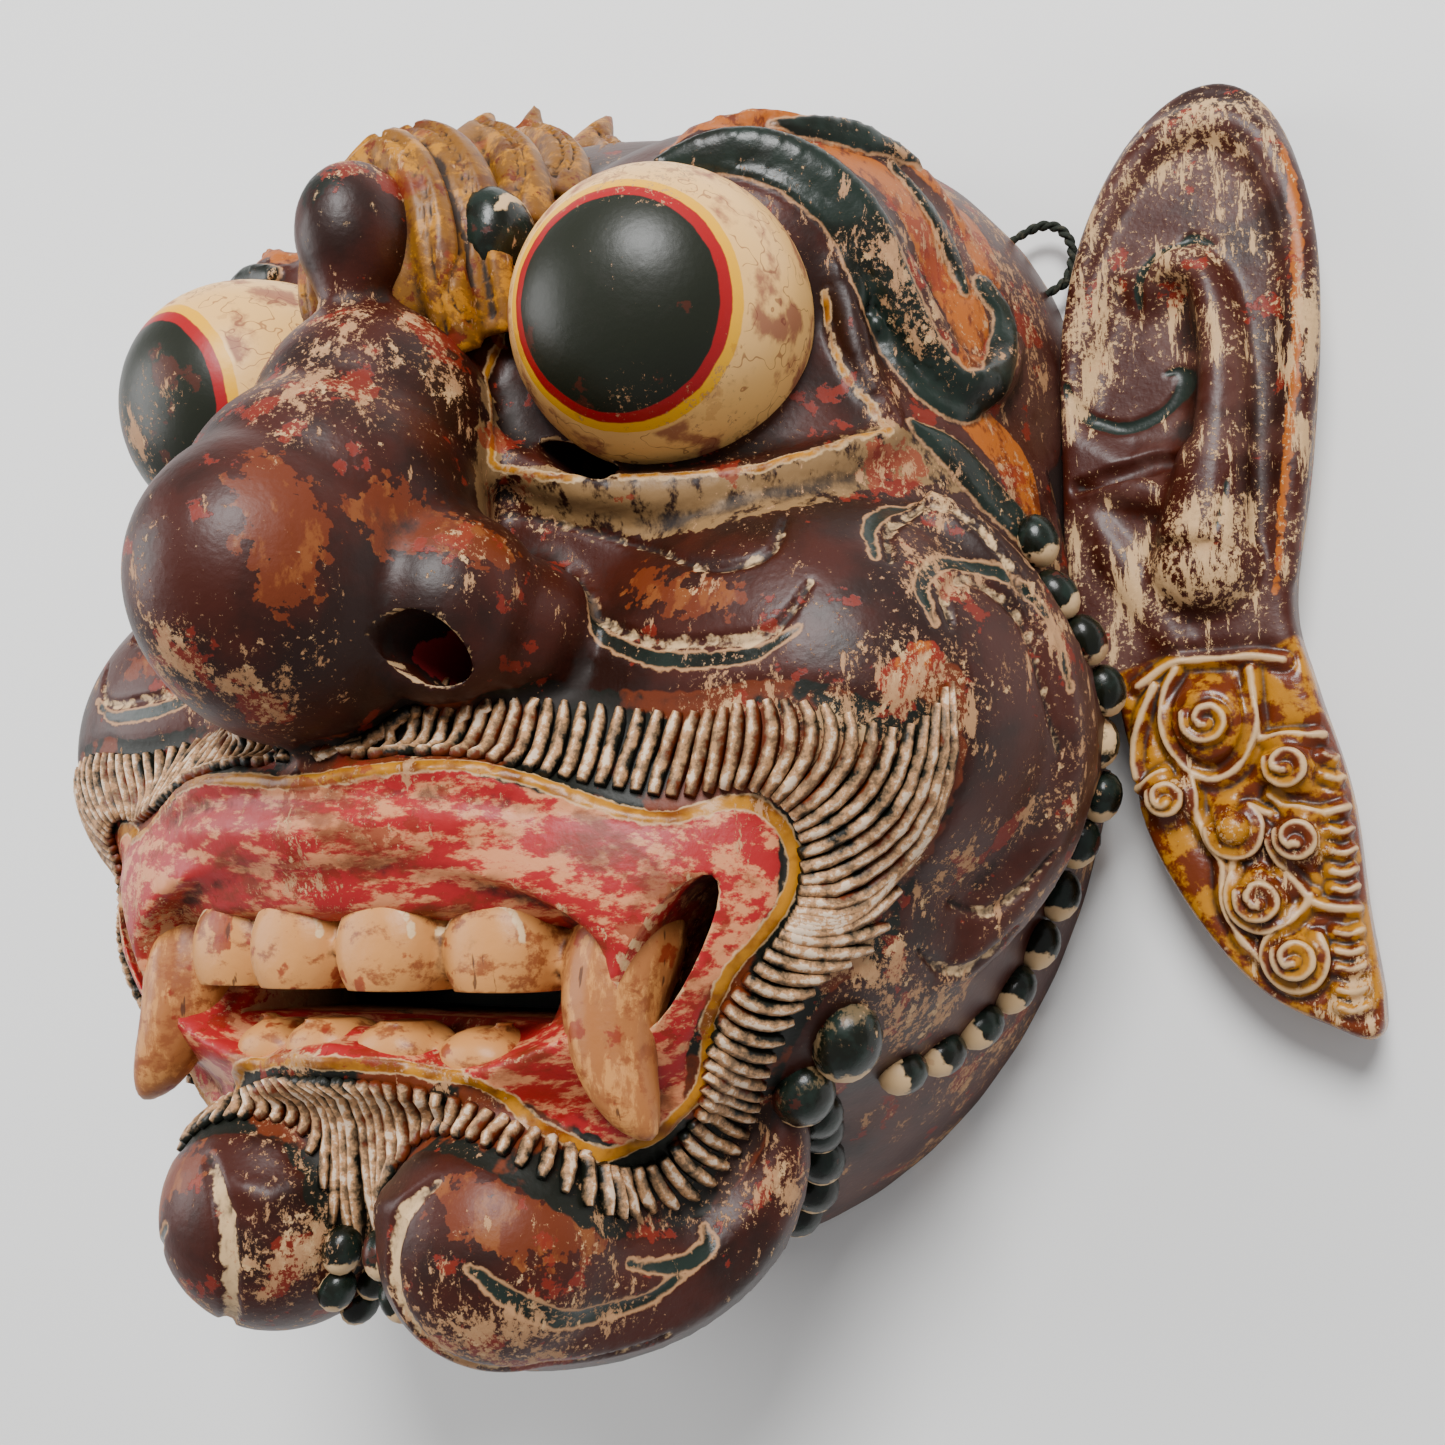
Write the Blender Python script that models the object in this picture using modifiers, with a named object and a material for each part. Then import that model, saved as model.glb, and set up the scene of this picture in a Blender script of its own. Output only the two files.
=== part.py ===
"""A carved wooden rakshasa mask with two ears, lying on its back.

+X is the viewer's right, +Y runs up the face to the crest, and +Z points out of the face.
The rim of the hollow back rests on the plane z = 0, and the box around the mask is centred over the origin.
"""

import math

import bpy
from mathutils import Euler, Vector
from mathutils.bvhtree import BVHTree

# Driving dimensions, in metres
MASK_HEIGHT = 0.234
RIM_WALL = 0.011
FACE_WALL = 0.016
EAR_THICKNESS = 0.011
JOIN_GAP = 0.0003
CORD_THICKNESS = 0.0022
NOSTRIL_WIDTH = 0.0125
NOSTRIL_HEIGHT = 0.011
SLIT_WIDTH = 0.018
SLIT_HEIGHT = 0.005
CORNER_GAP_WIDTH = 0.008
CORNER_GAP_LENGTH = 0.026
MOUTH_GAP_WIDTH = 0.064
MOUTH_GAP = 0.005

# The carver's layout is drawn in parts of the mask's height, 234 of them, 1 mm each at this size
PART = MASK_HEIGHT / 234

# How finely the wood is worked, in metres, and how many facets each piece keeps
ROUGH_CELL = 0.0024
FINE_CELL = 0.0013
HEAD_FACETS = 6050
EAR_FACETS = 1150

# The plain head before carving: centre, half sizes and fullness (2 is an egg, more is boxier)
SKULL = ((0, -4, 0), (97, 113, 80), 2.5)
MUZZLE = ((0, -46, 22), (87, 50, 80), 2.5)
CHIN = ((0, -84, 58), (52, 27, 31), 2.3)
PAIRED_BONES = {
    "temple": ((30, 42, 0), (63, 63, 62), 2.3),
    "cheek": ((56, -17, 34), (45, 39, 52), 2.5),
    "brow_bone": ((38, 62, 26), (43, 31, 46), 2.2),
}

# The nose, and the bulb on the forehead with its collar, stand on the middle line
NOSE_FORMS = (
    ((0, 1, 104), (22, 25, 29)),
    ((0, 12, 98), (24, 24, 24.5)),
    ((0, 24, 89), (20.5, 27, 22)),
    ((0, 61, 94), (9.5, 12.5, 11.5)),
    ((0, 60, 83), (14, 18, 13)),
)
CHIN_BALL = ((23, -96.5, 81), (20, 19.5, 20.5))
BULB_TIP = ((0, 57, 96, 8), (0, 50, 97, 5.5), (0, 44, 97, 1.5))
EYE = ((44, 46, 71), (24, 24, 26), 2.2)
EYE_SWING = (14, 12, 0)
NOSTRIL_FORMS = (
    ((20.5, -3, 95), (15, 15.5, 15)),
    ((23, -6, 84), (15.5, 13.5, 16)),
)
NOSTRIL_BORE = ((24.5, -10.5, 92), -15)
SLIT_PLACE = ((32, 23, 75), -28)
CORNER_PLACE = ((54.5, -54.5, 75), -30)
MOUTH_LINE = -62.5
BORE_REACH = 40
SLOT_FULLNESS = 2.6

# Swept ridges of the right half: places along the middle of each, with its half width there
LID = ((14, 50, 77, 2), (11, 36, 80, 2.6), (15, 26, 81, 3.2), (30, 18.5, 79, 3.4), (46, 15.5, 76, 3.6),
       (60, 18, 69, 3.6), (70, 22, 61, 3.2), (78, 27, 53, 1.5))
UPPER_LID = ((24, 70, 74, 1), (44, 76, 66, 2.5), (60, 70, 61, 3), (68, 58, 57, 3), (70, 46, 55, 3),
             (72, 36, 55, 2.5), (77, 28, 52, 1.5))
BROW = ((42, 73, 70, 2), (52, 77, 66, 4), (63, 74, 60, 5), (71, 65, 54, 5), (76, 52, 48, 5),
        (80, 41, 43, 4.5), (86, 36.5, 36, 3.5), (88, 43, 29, 3), (86, 51, 25, 3))
BROW_EDGE = ((44, 77, 67, 2), (55, 81, 60, 3), (66, 82, 48, 3), (74, 79, 35, 3), (79, 71, 27, 3),
             (82, 60, 27, 2))
CHEEK_LOBE = ((82, 14, 58, 3), (88, 8, 54, 6), (92, -3, 49, 9), (94, -17, 42, 11.5), (91, -32, 38, 11.5),
              (85, -46, 39, 9), (77, -57, 46, 7), (70, -65, 55, 4))
CHIN_LOBE = ((15, -85, 92, 10), (21, -97, 85, 20), (32, -104, 71, 15), (44, -102, 60, 11),
             (54, -92, 55, 8), (59, -79, 58, 3))
LIP_EDGE = ((0, -29, 103, 3), (22, -26, 101, 3), (38, -31, 94, 3), (52, -35, 86, 3),
            (62, -33, 80, 3), (68, -38, 76, 3), (66, -50, 76, 3), (59, -62, 78, 3),
            (55, -72, 75, 3), (46, -81, 74, 3.4), (34, -84, 80, 3.4), (26, -77, 86, 3.4),
            (14, -72, 92, 3.4), (0, -71, 95, 3.4))
UPPER_LIP = ((0, -36, 99, 7.5), (20, -34, 97, 7.5), (38, -37, 90, 6.5), (52, -40, 82, 5), (62, -38, 77, 4))
LIP_ROLL = ((0, -44, 96, 6), (20, -43, 94, 6), (38, -46, 86, 6), (50, -47, 79, 4), (60, -44, 74, 3))
LOWER_LIP = ((0, -71, 88, 5.5), (18, -72, 86, 5.5), (30, -77, 78, 5.5), (42, -78, 72, 4), (52, -70, 73, 3))
MOUTH_CORNER = ((68, -42, 72, 4.5), (63, -54, 72, 4.5), (57, -65, 72, 4.5), (50, -76, 69, 4))
FANG = ((46, -47, 80, 7), (45, -52, 82, 9), (43.5, -58, 84, 8.6), (44, -66, 86, 7), (46.5, -73, 87, 5.4),
        (50, -78, 87, 3.6), (52, -80, 87, 0.8))
RIDGES = {
    "lid": LID,
    "upper_lid": UPPER_LID,
    "brow": BROW,
    "brow_edge": BROW_EDGE,
    "cheek_lobe": CHEEK_LOBE,
    "chin_lobe": CHIN_LOBE,
    "lip_edge": LIP_EDGE,
    "upper_lip": UPPER_LIP,
    "lip_roll": LIP_ROLL,
    "lower_lip": LOWER_LIP,
    "mouth_corner": MOUTH_CORNER,
    "fang": FANG,
}

# Teeth: centres across the right half, then half sizes
UPPER_TEETH = ((9, -51.5, 90), (26.5, -52, 86))
UPPER_TOOTH = (9.6, 9, 9.8)
LOWER_TEETH = ((7.2, -69.5, 87), (21, -70.5, 84), (33, -72.5, 79))
LOWER_TOOTH = (7.6, 5, 7.5)
TOOTH_FULLNESS = 2.6
MOUTH_POCKET = ((0, -57, 104), (50, 17, 28), 2.6)

# Hair around the mouth: the line it springs from, and the line it reaches
HAIR_ROOT = ((3, -24, 100), (22, -22, 96), (38, -27, 90), (52, -31, 86), (63, -29, 80), (71, -36, 74),
             (69, -50, 70), (62, -63, 72), (58, -74, 68), (47, -85, 70), (33, -88, 80), (24, -81, 86),
             (13, -76, 90), (3, -75, 92))
HAIR_REACH = ((3, -18, 98), (24, -14, 84), (41, -17, 84), (58, -17, 84), (75, -16, 80), (89, -20, 66),
              (87, -42, 58), (76, -57, 62), (67, -72, 60), (52, -89, 60), (36, -98, 74), (26, -91, 84),
              (14, -86, 90), (3, -86, 92))
HAIR_PITCH = 5.6
HAIR_HALF = 1.7
HAIR_PROUD = 0.4

# Beads that edge the cheek lobe, as lines and a spacing, and the curls where the lines meet
BEAD_LINES = (
    ((92, 16, 34), (97, 3, 32), (99, -9, 26), (98, -24, 18), (95, -39, 16), (89, -53, 17),
     (82, -64, 23), (75, -71, 33), (68, -74, 47)),
    ((61, -77, 55), (58, -86, 44), (53, -96, 34), (45, -104, 27)),
)
BEAD_PITCH = 9.6
BEAD = (4, 4, 4)
BEAD_PROUD = 0.9
CURLS = (((70, -67, 63), 5.5), ((62, -75, 61), 5))

# The crest: a low wall along the middle line, and flames that rise over it from both sides
CREST_WALL = ((0, 66, 86, 10), (0, 76, 75, 9), (0, 84, 61, 9), (0, 90, 47, 8), (0, 95, 33, 7), (0, 99, 21, 5))
CREST_FLAMES = (
    ((13, 43, 83, 3.5), (13.5, 52, 89, 4.5), (12, 64, 90, 4.5), (7, 74, 89, 4.5), (0, 79, 87, 4.5)),
    ((18, 47, 78, 4), (18, 56, 82, 4.5), (15, 69, 83, 5), (8, 80, 81, 5), (0, 84, 79, 4.5)),
    ((18, 66, 73, 5), (17, 78, 71, 5.5), (10, 87, 67, 5), (0, 94, 62, 2.5)),
    ((18, 74, 63, 5), (17, 85, 57, 5.5), (10, 93.5, 52, 4.5), (0, 101, 48.5, 2)),
    ((17, 84, 50, 5), (16, 93, 41, 5.5), (9, 101, 31, 4.5), (0, 110, 24, 2)),
)
FLAME_TIPS = (
    ((0, 82, 70, 6), (0, 90, 65, 5), (0, 95, 62, 3), (0, 99, 60, 0.8)),
    ((0, 86, 50, 6), (0, 95, 48.5, 5), (0, 101, 48, 3.2), (0, 107, 46, 0.8)),
    ((0, 93, 36, 6), (0, 101, 31, 5.5), (0, 108, 26, 4.4), (0, 113, 23, 2.8), (0, 117.5, 20, 0.8)),
)
VOLUTE = ((17, 63, 80), (6, 8, 7))

# The right ear and its earring: the outline seen from the front, then what stands on it
EAR_MIDDLE = 9.5
EAR_OUTLINE = ((92, 47), (93, 57), (97, 72), (105, 86), (115, 93.5), (124, 93), (131, 85), (135, 70),
               (135.5, 50), (133, 25), (129.5, 2), (132, -12), (136.5, -30), (138, -48), (139.5, -68),
               (131, -67), (121, -61.5), (111.5, -50), (104, -35), (101, -18), (99, -11), (92, -20))
EAR_RIDGES = (
    ((96, 60, 14, 2), (103, 81, 14, 3.5), (117, 89, 14, 4), (128, 83, 14, 4), (133, 68, 14, 3.5),
     (134, 50, 14, 3.2), (131, 27, 14, 3.2), (128, 5, 13, 2.5)),
    ((108, 61, 13, 2.5), (113, 63.5, 14, 3.5), (118.5, 59, 15, 4.5), (120, 46, 15.5, 5),
     (119.5, 33, 15.5, 5.5), (117.5, 20, 15.5, 7), (116, 12, 15, 8)),
    ((95, 24, 13, 2), (102, 24, 14.5, 3.5), (110, 22, 14.5, 3.5), (113, 18, 14.5, 3)),
    ((97, 20, 12, 4), (102, 10, 12, 5), (108, 0, 12, 5), (112, -6, 12, 4)),
)
EAR_BULB = ((116, 8, 13), (9.5, 8.5, 8.5))
EARRING_BOSSES = ((115.6, -18, 8), (108.5, -30.5, 4.6), (127.8, -26, 5.4), (128.8, -37.6, 5.2),
                  (122.4, -47.3, 5.8), (127.5, -56.5, 5.2), (119, -36, 5))
BOSS_HEIGHT = 7

OUTLINE_STEPS = 3
EDGE_SHARE = 0.2

# The flat seat where an ear meets the head: how far out it is, and its lowest and highest y and z
SEAT_X = 91.5
SEAT_LOW = (-24, -4)
SEAT_HIGH = (61, 21)
BEYOND = 160

# The tie loop, from socket to socket through the rim behind the right ear
TIE_ROUTE = ((78, 76, 5), (84.5, 78.5, 5), (87.5, 79, 5), (90.3, 78, 5), (92.3, 75.5, 5), (93, 72.5, 5),
             (92.6, 69.5, 5), (91.5, 67.4, 5), (89.8, 66.2, 5), (83, 64, 5))

COLOURS = {
    "mask_head": (0.09, 0.028, 0.02),
    "ear_right": (0.12, 0.045, 0.035),
    "ear_left": (0.12, 0.045, 0.035),
    "tie_loop": (0.012, 0.016, 0.014),
}
PAINT_ROUGHNESS = 0.5
SHARP_ANGLE = 50
WELD_REACH = 0.00002
ROUGH_SMOOTHING = 6
FINE_SMOOTHING = 2
SOCKET_SIDES = 12


def layout(x, y, z=0.0):
    """A place in the carver's layout, as metres."""
    return Vector((x, y, z)) * PART


def mirrored(place, side):
    return (place[0] * side, *place[1:])


def clear_scene():
    for old in list(bpy.data.objects):
        bpy.data.objects.remove(old)


def apply_modifiers(target):
    bpy.context.view_layer.objects.active = target
    for modifier in list(target.modifiers):
        bpy.ops.object.modifier_apply(modifier=modifier.name)


def egg(name, centre, halves, fullness=2.0, swing=(0, 0, 0), across=32):
    """A closed egg form. Fullness squares its side view, and swing turns it about X, Y and Z, in degrees."""
    bpy.ops.mesh.primitive_uv_sphere_add(segments=across, ring_count=across // 2, radius=1)
    form = bpy.context.object
    form.name = name
    turn = Euler([math.radians(angle) for angle in swing], "XYZ").to_matrix()
    for corner in form.data.vertices:
        out = corner.co.normalized()
        flat = math.hypot(out.x, out.y)
        swell = (flat**fullness + abs(out.z) ** fullness) ** (-1 / fullness)
        stretched = Vector((out.x * halves[0], out.y * halves[1], out.z * halves[2])) * swell
        corner.co = layout(*(Vector(centre) + turn @ stretched))
    return form


def block(name, low, high):
    """A box between two corners, in metres."""
    low, high = Vector(low), Vector(high)
    bpy.ops.mesh.primitive_cube_add(size=1, location=(low + high) / 2)
    form = bpy.context.object
    form.name = name
    form.scale = high - low
    bpy.ops.object.transform_apply(location=True, rotation=False, scale=True)
    return form


def as_mesh(curve):
    """The curve's swept surface as a closed mesh object, in place of the curve."""
    graph = bpy.context.evaluated_depsgraph_get()
    mesh = bpy.data.meshes.new_from_object(curve.evaluated_get(graph))
    name = curve.name
    bpy.data.objects.remove(curve)
    made = bpy.data.objects.new(name, mesh)
    bpy.context.scene.collection.objects.link(made)
    weld = made.modifiers.new("weld caps", "WELD")
    weld.merge_threshold = WELD_REACH
    apply_modifiers(made)
    return made


def ridge(name, places):
    """A rounded ridge swept through (x, y, z, half width) places of the layout."""
    line = bpy.data.curves.new(name, "CURVE")
    line.dimensions = "3D"
    line.bevel_depth = PART
    line.bevel_resolution = 2
    line.use_fill_caps = True
    line.resolution_u = 4
    spline = line.splines.new("NURBS")
    spline.points.add(len(places) - 1)
    spline.order_u = 4
    spline.use_endpoint_u = True
    for point, (x, y, z, half) in zip(spline.points, places):
        point.co = (*layout(x, y, z), 1)
        point.radius = half
    curve = bpy.data.objects.new(name, line)
    bpy.context.scene.collection.objects.link(curve)
    return as_mesh(curve)


def board(name, outline, middle, thickness):
    """A flat board with the given outline and softened edges, its middle at a height over the floor."""
    softness = thickness * EDGE_SHARE
    line = bpy.data.curves.new(name, "CURVE")
    line.dimensions = "2D"
    line.fill_mode = "BOTH"
    line.bevel_depth = softness
    line.bevel_resolution = 1
    line.extrude = thickness / 2 - softness
    line.offset = -softness
    spline = line.splines.new("POLY")
    spline.points.add(len(outline) - 1)
    spline.use_cyclic_u = True
    for point, (x, y) in zip(spline.points, outline):
        point.co = (*layout(x, y), 1)
    curve = bpy.data.objects.new(name, line)
    bpy.context.scene.collection.objects.link(curve)
    made = as_mesh(curve)
    for corner in made.data.vertices:
        corner.co.z += middle
    return made


def rounded(outline, steps):
    """The closed outline with so many places for each one given, on a smooth curve through them all."""
    found = []
    for index, (x, y) in enumerate(outline):
        before, start = Vector(outline[index - 1]), Vector((x, y))
        end, after = (Vector(outline[(index + ahead) % len(outline)]) for ahead in (1, 2))
        for step in range(steps):
            t = step / steps
            bend = (2 * before - 5 * start + 4 * end - after) * t * t
            twist = (3 * start - before - 3 * end + after) * t**3
            found.append(0.5 * (2 * start + (end - before) * t + bend + twist))
    return found


def joined(forms, name):
    """All the forms as one object, still overlapping."""
    bpy.ops.object.select_all(action="DESELECT")
    for form in forms:
        form.select_set(True)
    bpy.context.view_layer.objects.active = forms[0]
    bpy.ops.object.join()
    forms[0].name = name
    return forms[0]


def fused(target, cell, smoothing):
    """One skin over overlapping forms, softened as a worn carving is."""
    remesh = target.modifiers.new("one skin", "REMESH")
    remesh.mode = "VOXEL"
    remesh.voxel_size = cell
    worn = target.modifiers.new("worn", "SMOOTH")
    worn.factor = 0.5
    worn.iterations = int(smoothing)
    apply_modifiers(target)
    return target


def faceted(target, facets):
    """The same form with no more than about this many triangles."""
    fewer = target.modifiers.new("fewer facets", "DECIMATE")
    count = sum(len(face.vertices) - 2 for face in target.data.polygons)
    fewer.ratio = min(1.0, facets / count)
    fewer.use_collapse_triangulate = True
    apply_modifiers(target)
    return target


def cut(target, cutter):
    """Takes the cutter's volume away from the target, and removes the cutter."""
    boolean = target.modifiers.new("cut", "BOOLEAN")
    boolean.operation = "DIFFERENCE"
    boolean.object = cutter
    apply_modifiers(target)
    bpy.data.objects.remove(cutter)


def along(line, pitch):
    """Places at an even pitch along a line of layout places."""
    found = []
    left = pitch / 2
    for start, end in zip(line, line[1:]):
        start, end = Vector(start), Vector(end)
        length = (end - start).length
        while left < length:
            found.append(start.lerp(end, left / length))
            left += pitch
        left -= length
    return found


def onto(skin, place, proud=0.0):
    """The nearest place on the plain head, raised by so many parts. Takes and gives layout places."""
    spot, normal, _, _ = skin.find_nearest(layout(*place))
    return spot / PART + normal * proud


def plain_head():
    """The bare head: skull, muzzle, chin, temples, cheeks and brow bones."""
    forms = [egg("skull", *SKULL, across=48), egg("muzzle", *MUZZLE, across=48), egg("chin", *CHIN)]
    for side in (1, -1):
        for name, (centre, halves, fullness) in PAIRED_BONES.items():
            forms.append(egg(name, mirrored(centre, side), halves, fullness))
    return fused(joined(forms, "mask_head"), ROUGH_CELL, ROUGH_SMOOTHING)


def face_forms():
    """Nose, bulb, eyes, nostril wings, teeth and every swept ridge of the face."""
    forms = [egg("nose", *form) for form in NOSE_FORMS]
    forms.append(ridge("bulb_tip", BULB_TIP))
    for side in (1, -1):
        centre, halves, fullness = EYE
        swing = (EYE_SWING[0], EYE_SWING[1] * side, 0)
        forms.append(egg("eye", mirrored(centre, side), halves, fullness, swing))
        for centre, halves in (*NOSTRIL_FORMS, CHIN_BALL):
            forms.append(egg("ball", mirrored(centre, side), halves))
        for centre in UPPER_TEETH:
            forms.append(egg("upper_tooth", mirrored(centre, side), UPPER_TOOTH, TOOTH_FULLNESS, across=16))
        for centre in LOWER_TEETH:
            forms.append(egg("lower_tooth", mirrored(centre, side), LOWER_TOOTH, TOOTH_FULLNESS, across=16))
        for name, places in RIDGES.items():
            forms.append(ridge(name, [mirrored(place, side) for place in places]))
    return forms


def hair_and_beads(skin):
    """Strands that spring from the lips, and the beads that edge the cheek lobes, lying on the plain head."""
    forms = []
    roots = along(HAIR_ROOT, HAIR_PITCH)
    whole = sum((Vector(b) - Vector(a)).length for a, b in zip(HAIR_REACH, HAIR_REACH[1:]))
    reaches = along(HAIR_REACH, whole / len(roots))
    for root, reach in zip(roots, reaches):
        for side in (1, -1):
            route = [mirrored(root.lerp(reach, share), side) for share in (0, 0.5, 1)]
            places = [onto(skin, place, HAIR_PROUD) for place in route]
            forms.append(ridge("strand", [(*place, HAIR_HALF) for place in places]))
    for side in (1, -1):
        for line in BEAD_LINES:
            for spot in along(line, BEAD_PITCH):
                forms.append(egg("bead", onto(skin, mirrored(spot, side), BEAD_PROUD), BEAD, across=12))
        for spot, half in CURLS:
            place = onto(skin, mirrored(spot, side), BEAD_PROUD)
            forms.append(egg("curl", place, (half, half, half), across=12))
    return forms


def crest_forms():
    """The crest: a wall along the middle line, flames over it, and a volute on each side."""
    forms = [ridge("crest_wall", CREST_WALL)] + [ridge("flame_tip", tip) for tip in FLAME_TIPS]
    for side in (1, -1):
        forms.append(egg("volute", mirrored(VOLUTE[0], side), VOLUTE[1]))
        forms += [ridge("flame", [mirrored(place, side) for place in flame]) for flame in CREST_FLAMES]
    return forms


def bored(head, place, turn, width, height, side, fullness):
    """Cuts one opening through the face: an upright bore of oval plan, turned in the plane of the face."""
    halves = (width / PART / 2, height / PART / 2, BORE_REACH)
    swing = (0, 0, turn * side)
    cut(head, egg("bore", mirrored(place, side), halves, fullness, swing, 16))


def hollow_out(head):
    """The wearer's side: the hollow, the flat rim, and the openings for mouth, eyes and nostrils."""
    rim, front = RIM_WALL / PART, FACE_WALL / PART
    centre, halves, fullness = SKULL
    cut(head, egg("hollow", centre, (halves[0] - rim, halves[1] - rim, halves[2] - front), fullness))
    cut(head, block("under_floor", layout(-BEYOND, -BEYOND, -BEYOND), layout(BEYOND, BEYOND, 0)))
    half_gap = Vector((MOUTH_GAP_WIDTH / 2, MOUTH_GAP / 2, BORE_REACH * PART))
    middle = layout(0, MOUTH_LINE, MOUTH_POCKET[0][2] - BORE_REACH / 2)
    cut(head, block("mouth_gap", middle - half_gap, middle + half_gap))
    for side in (1, -1):
        bored(head, *CORNER_PLACE, CORNER_GAP_WIDTH, CORNER_GAP_LENGTH, side, SLOT_FULLNESS)
        bored(head, *SLIT_PLACE, SLIT_WIDTH, SLIT_HEIGHT, side, SLOT_FULLNESS)
        bored(head, *NOSTRIL_BORE, NOSTRIL_WIDTH, NOSTRIL_HEIGHT, side, 2.0)


def tie_sockets(head):
    """Two blind holes in the rim that take the ends of the tie loop, with a gap all round."""
    for end, outward in ((TIE_ROUTE[0], TIE_ROUTE[1]), (TIE_ROUTE[-1], TIE_ROUTE[-2])):
        end, outward = layout(*end), layout(*outward)
        run = outward - end
        bottom = end - run.normalized() * JOIN_GAP
        bpy.ops.mesh.primitive_cylinder_add(
            vertices=SOCKET_SIDES,
            radius=CORD_THICKNESS / 2 + JOIN_GAP * 1.5,
            depth=(outward - bottom).length,
            location=(outward + bottom) / 2,
            rotation=run.to_track_quat("Z", "Y").to_euler(),
        )
        bpy.ops.object.transform_apply(location=True, rotation=True, scale=True)
        cut(head, bpy.context.object)


def carved_head():
    head = plain_head()
    skin = BVHTree.FromObject(head, bpy.context.evaluated_depsgraph_get())
    details = hair_and_beads(skin)
    cut(head, egg("mouth_pocket", *MOUTH_POCKET))
    head = joined([head, *face_forms(), *details, *crest_forms()], "mask_head")
    faceted(fused(head, FINE_CELL, FINE_SMOOTHING), HEAD_FACETS)
    hollow_out(head)
    for side in (1, -1):
        low_x, high_x = sorted((SEAT_X * side, BEYOND * side))
        cut(head, block("ear_seat", layout(low_x, *SEAT_LOW), layout(high_x, *SEAT_HIGH)))
    tie_sockets(head)
    return head


def carved_ear(side, name):
    """An ear and its earring, carved from one board, with a flat root against the head's seat."""
    outline = [mirrored(place, side) for place in rounded(EAR_OUTLINE, OUTLINE_STEPS)]
    forms = [board("ear_board", outline, EAR_MIDDLE * PART, EAR_THICKNESS)]
    forms.append(egg("ear_bulb", mirrored(EAR_BULB[0], side), EAR_BULB[1], across=24))
    for places in EAR_RIDGES:
        forms.append(ridge("ear_ridge", [mirrored(place, side) for place in places]))
    for x, y, half in EARRING_BOSSES:
        forms.append(egg("boss", (x * side, y, EAR_MIDDLE + 3), (half, half, BOSS_HEIGHT), across=16))
    ear = faceted(fused(joined(forms, name), FINE_CELL, FINE_SMOOTHING), EAR_FACETS)
    low_x, high_x = sorted((0, (SEAT_X + JOIN_GAP / PART) * side))
    cut(ear, block("seat_face", layout(low_x, -BEYOND, -BEYOND), layout(high_x, BEYOND, BEYOND)))
    return ear


def tie_loop():
    """The tie cord's loop, whose ends go into sockets in the rim."""
    line = bpy.data.curves.new("tie_loop", "CURVE")
    line.dimensions = "3D"
    line.bevel_depth = CORD_THICKNESS / 2
    line.bevel_resolution = 2
    line.use_fill_caps = True
    spline = line.splines.new("POLY")
    spline.points.add(len(TIE_ROUTE) - 1)
    for point, place in zip(spline.points, TIE_ROUTE):
        point.co = (*layout(*place), 1)
    cord = bpy.data.objects.new("tie_loop", line)
    bpy.context.scene.collection.objects.link(cord)
    return cord


def painted(piece):
    """Gives the piece its paint, shaded smooth over its facets."""
    paint = bpy.data.materials.new(piece.name)
    paint.use_nodes = True
    shader = paint.node_tree.nodes["Principled BSDF"]
    shader.inputs["Base Color"].default_value = (*COLOURS[piece.name], 1)
    shader.inputs["Roughness"].default_value = PAINT_ROUGHNESS
    piece.data.materials.clear()
    piece.data.materials.append(paint)
    if piece.type == "MESH":
        piece.data.shade_smooth()
        piece.data.set_sharp_from_angle(angle=math.radians(SHARP_ANGLE))


def main():
    clear_scene()
    pieces = [carved_head(), carved_ear(1, "ear_right"), carved_ear(-1, "ear_left"), tie_loop()]
    mask = bpy.data.collections.new("rakshasa_mask")
    bpy.context.scene.collection.children.link(mask)
    for piece in pieces:
        painted(piece)
        for home in list(piece.users_collection):
            home.objects.unlink(piece)
        mask.objects.link(piece)


if __name__ == "__main__":
    main()
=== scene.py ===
# %% [markdown]
# # A carved and painted demon mask
#
# This is a wooden dance mask with bulging eyes, a fanged mouth framed by carved hair, a flame crest
# and two big ears with leaf earrings. Its paint is old: maroon, red, green and gold over a cream ground
# that shows wherever hands and years have rubbed it through.
#
# The solids of the mask are already made, and they are loaded here as a fixed frame. They say how big
# everything is and where it sits. This lesson carves the same forms again, much finer, and paints them.

# %% Load the fixed frame
import math

import bpy
import numpy as np
from mathutils import Euler, Matrix, Vector
from mathutils.bvhtree import BVHTree
from mathutils.kdtree import KDTree


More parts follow.
